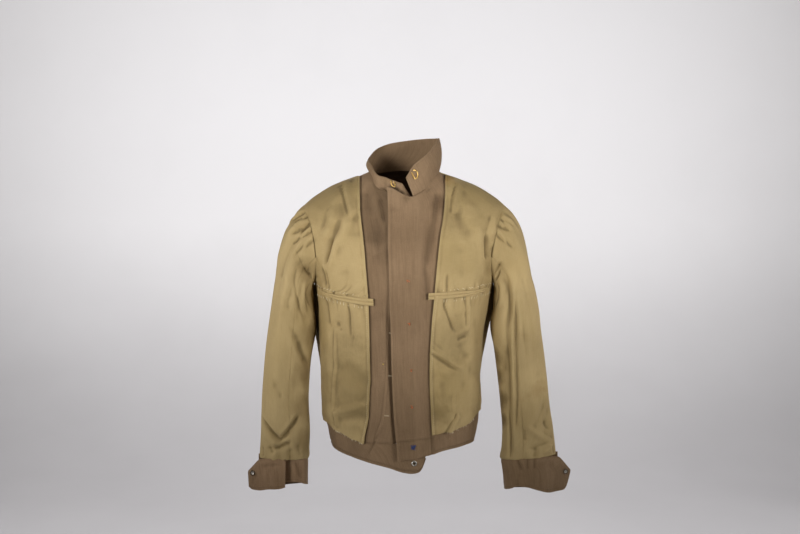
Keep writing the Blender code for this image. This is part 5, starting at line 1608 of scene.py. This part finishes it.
def area_light(name, place, target, size, power, spread_angle, colour):
    """A soft square light that the camera doesn't see; a narrow spread keeps it on its target."""
    light = bpy.data.lights.new(name, "AREA")
    light.size = size
    light.energy = power
    light.spread = np.radians(spread_angle)
    light.color = colour
    lamp = add_object(name, light)
    lamp.location = place
    lamp.rotation_euler = (Vector(target) - Vector(place)).to_track_quat("-Z", "Y").to_euler()
    lamp.visible_camera = False


for old in list(bpy.data.objects):
    bpy.data.objects.remove(old)
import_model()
scene = bpy.context.scene
scene.view_settings.view_transform = "Standard"

lens = bpy.data.cameras.new("photo_camera")
lens.sensor_width = SENSOR_WIDTH
lens.lens = FOCAL_LENGTH
camera = add_object("photo_camera", lens)
camera.location = CAMERA_PLACE
camera.rotation_euler = (np.pi / 2.0, 0.0, 0.0)
scene.camera = camera

WEAVE, WEAR, STAIN_AND_SHADE, CREASE_SHADING = weave_group(), wear_group(), stain_and_shade_group(), crease_shading_group()
# The lining's patches of painted light and shade, and one real stain
khaki = cloth_material("khaki_twill", KHAKI_LOOK, LINING_STAIN_AND_PAINTED_SHADING)
# The wool's patches of painted light and shade
serge = cloth_material("brown_serge", WOOL_LOOK, WOOL_PAINTED_SHADING)
# A darker copy of the wool, with painted shade for the right facing
serge_shaded = cloth_material("brown_serge_painted_shade", WOOL_LOOK, FACING_R_PAINTED_SHADE)
brass = metal_material("brass_wire", (0.80, 0.56, 0.20), (0.30, 0.17, 0.05))
steel = metal_material("steel_snap", (0.72, 0.70, 0.66), (0.20, 0.19, 0.17))
gunmetal = metal_material("dark_snap", (0.19, 0.15, 0.11), (0.07, 0.055, 0.04))
pale_thread = thread_material("pale_thread", (0.70, 0.61, 0.42), (0.50, 0.41, 0.25))
brown_thread = thread_material("brown_thread", (0.20, 0.13, 0.07), (0.10, 0.06, 0.03))
orange_thread = thread_material("orange_thread", (0.88, 0.25, 0.07), (0.55, 0.13, 0.04))
yellow_thread = thread_material("yellow_thread", (0.78, 0.58, 0.12), (0.50, 0.34, 0.06))
blue_thread = thread_material("blue_thread", (0.05, 0.09, 0.30), (0.02, 0.03, 0.12))

back_panel()
facing_r = right_facing()
facing_l = left_facing()
strip = fly()
neck = standing_collar()
bands = [band("waistband_r", -89.9, TAB_END), band("waistband_back", 90.1, 269.9),
         band("waistband_l", 22.0, 89.9)]
uppers = {hand: front_upper(hand) for hand in (-1, 1)}
lowers = {hand: front_lower(hand) for hand in (-1, 1)}
for hand in (-1, 1):
    welt(hand)
for hand in (-1, 1):
    sleeve_piece("sleeve_upper_" + suffix(hand), hand, -SLEEVE_FRONT_SEAM, SLEEVE_FRONT_SEAM)
    sleeve_piece("sleeve_under_" + suffix(hand), hand, SLEEVE_FRONT_SEAM, SLEEVE_BACK_SEAM)
cuffs = [cuff_strip(-1, CUFF_R, CUFF_FOLDS_R), cuff_strip(1, CUFF_L, CUFF_FOLDS_L)]
bent_wire("collar_hook_r", HOOK_R)
bent_wire("collar_hook_l", HOOK_L)
cuff_snap(-1, CUFF_R)
cuff_snap(1, CUFF_L)
tab_snap()

pale = []
for hand in (-1, 1):
    # Pale ticks by the welts: threads that stand in for the highlights between the gathers, painted highlight
    pale += highlight_ticks(uppers[hand], 5, 15, 6 + hand)
    pale += highlight_ticks(lowers[hand], lowers[hand].shape[0] - 10, 17, 9 + hand)
    pale.append(stitch_row(*edge_line(lowers[hand], 3 if hand > 0 else -4, 0), LINING_STITCH))
pale += frayed(lowers[-1], 0.45, 0.99, 44, 12) + frayed(lowers[1], 0.20, 0.62, 30, 13)
for spot in BAR_TACKS:
    pale += bar_tack(*spot)
# Real pale stitches, bar tacks and frayed yarns, with the painted-highlight ticks
thread_piece("pale_stitches_and_highlights", pale, pale_thread)
seams = [edge_line(piece, 3, 1) for piece in bands] + [edge_line(piece, -4, 1) for piece in (neck, *cuffs)]
seams += [edge_line(facing_l, 3, 0), edge_line(strip, 3, 0)]
thread_piece("brown_stitches", [stitch_row(*seam, WOOL_STITCH) for seam in seams], brown_thread)
thread_piece("button_threads", loose_threads(facing_l, BUTTON_THREADS, 0.0034, 7, 3), orange_thread)
thread_piece("yellow_knot", loose_threads(facing_r, [YELLOW_KNOT], 0.0014, 12, 5), yellow_thread)
thread_piece("blue_thread_mark", loose_threads(facing_l, [BLUE_MARK], 0.0058, 30, 4), blue_thread)

sweep_backdrop()
for light in LIGHTS:
    area_light(*light)
sky = bpy.data.worlds.new("studio")
sky.use_nodes = True
sky.node_tree.nodes["Background"].inputs["Color"].default_value = (0.92, 0.84, 0.74, 1.0)
sky.node_tree.nodes["Background"].inputs["Strength"].default_value = 0.13
scene.world = sky
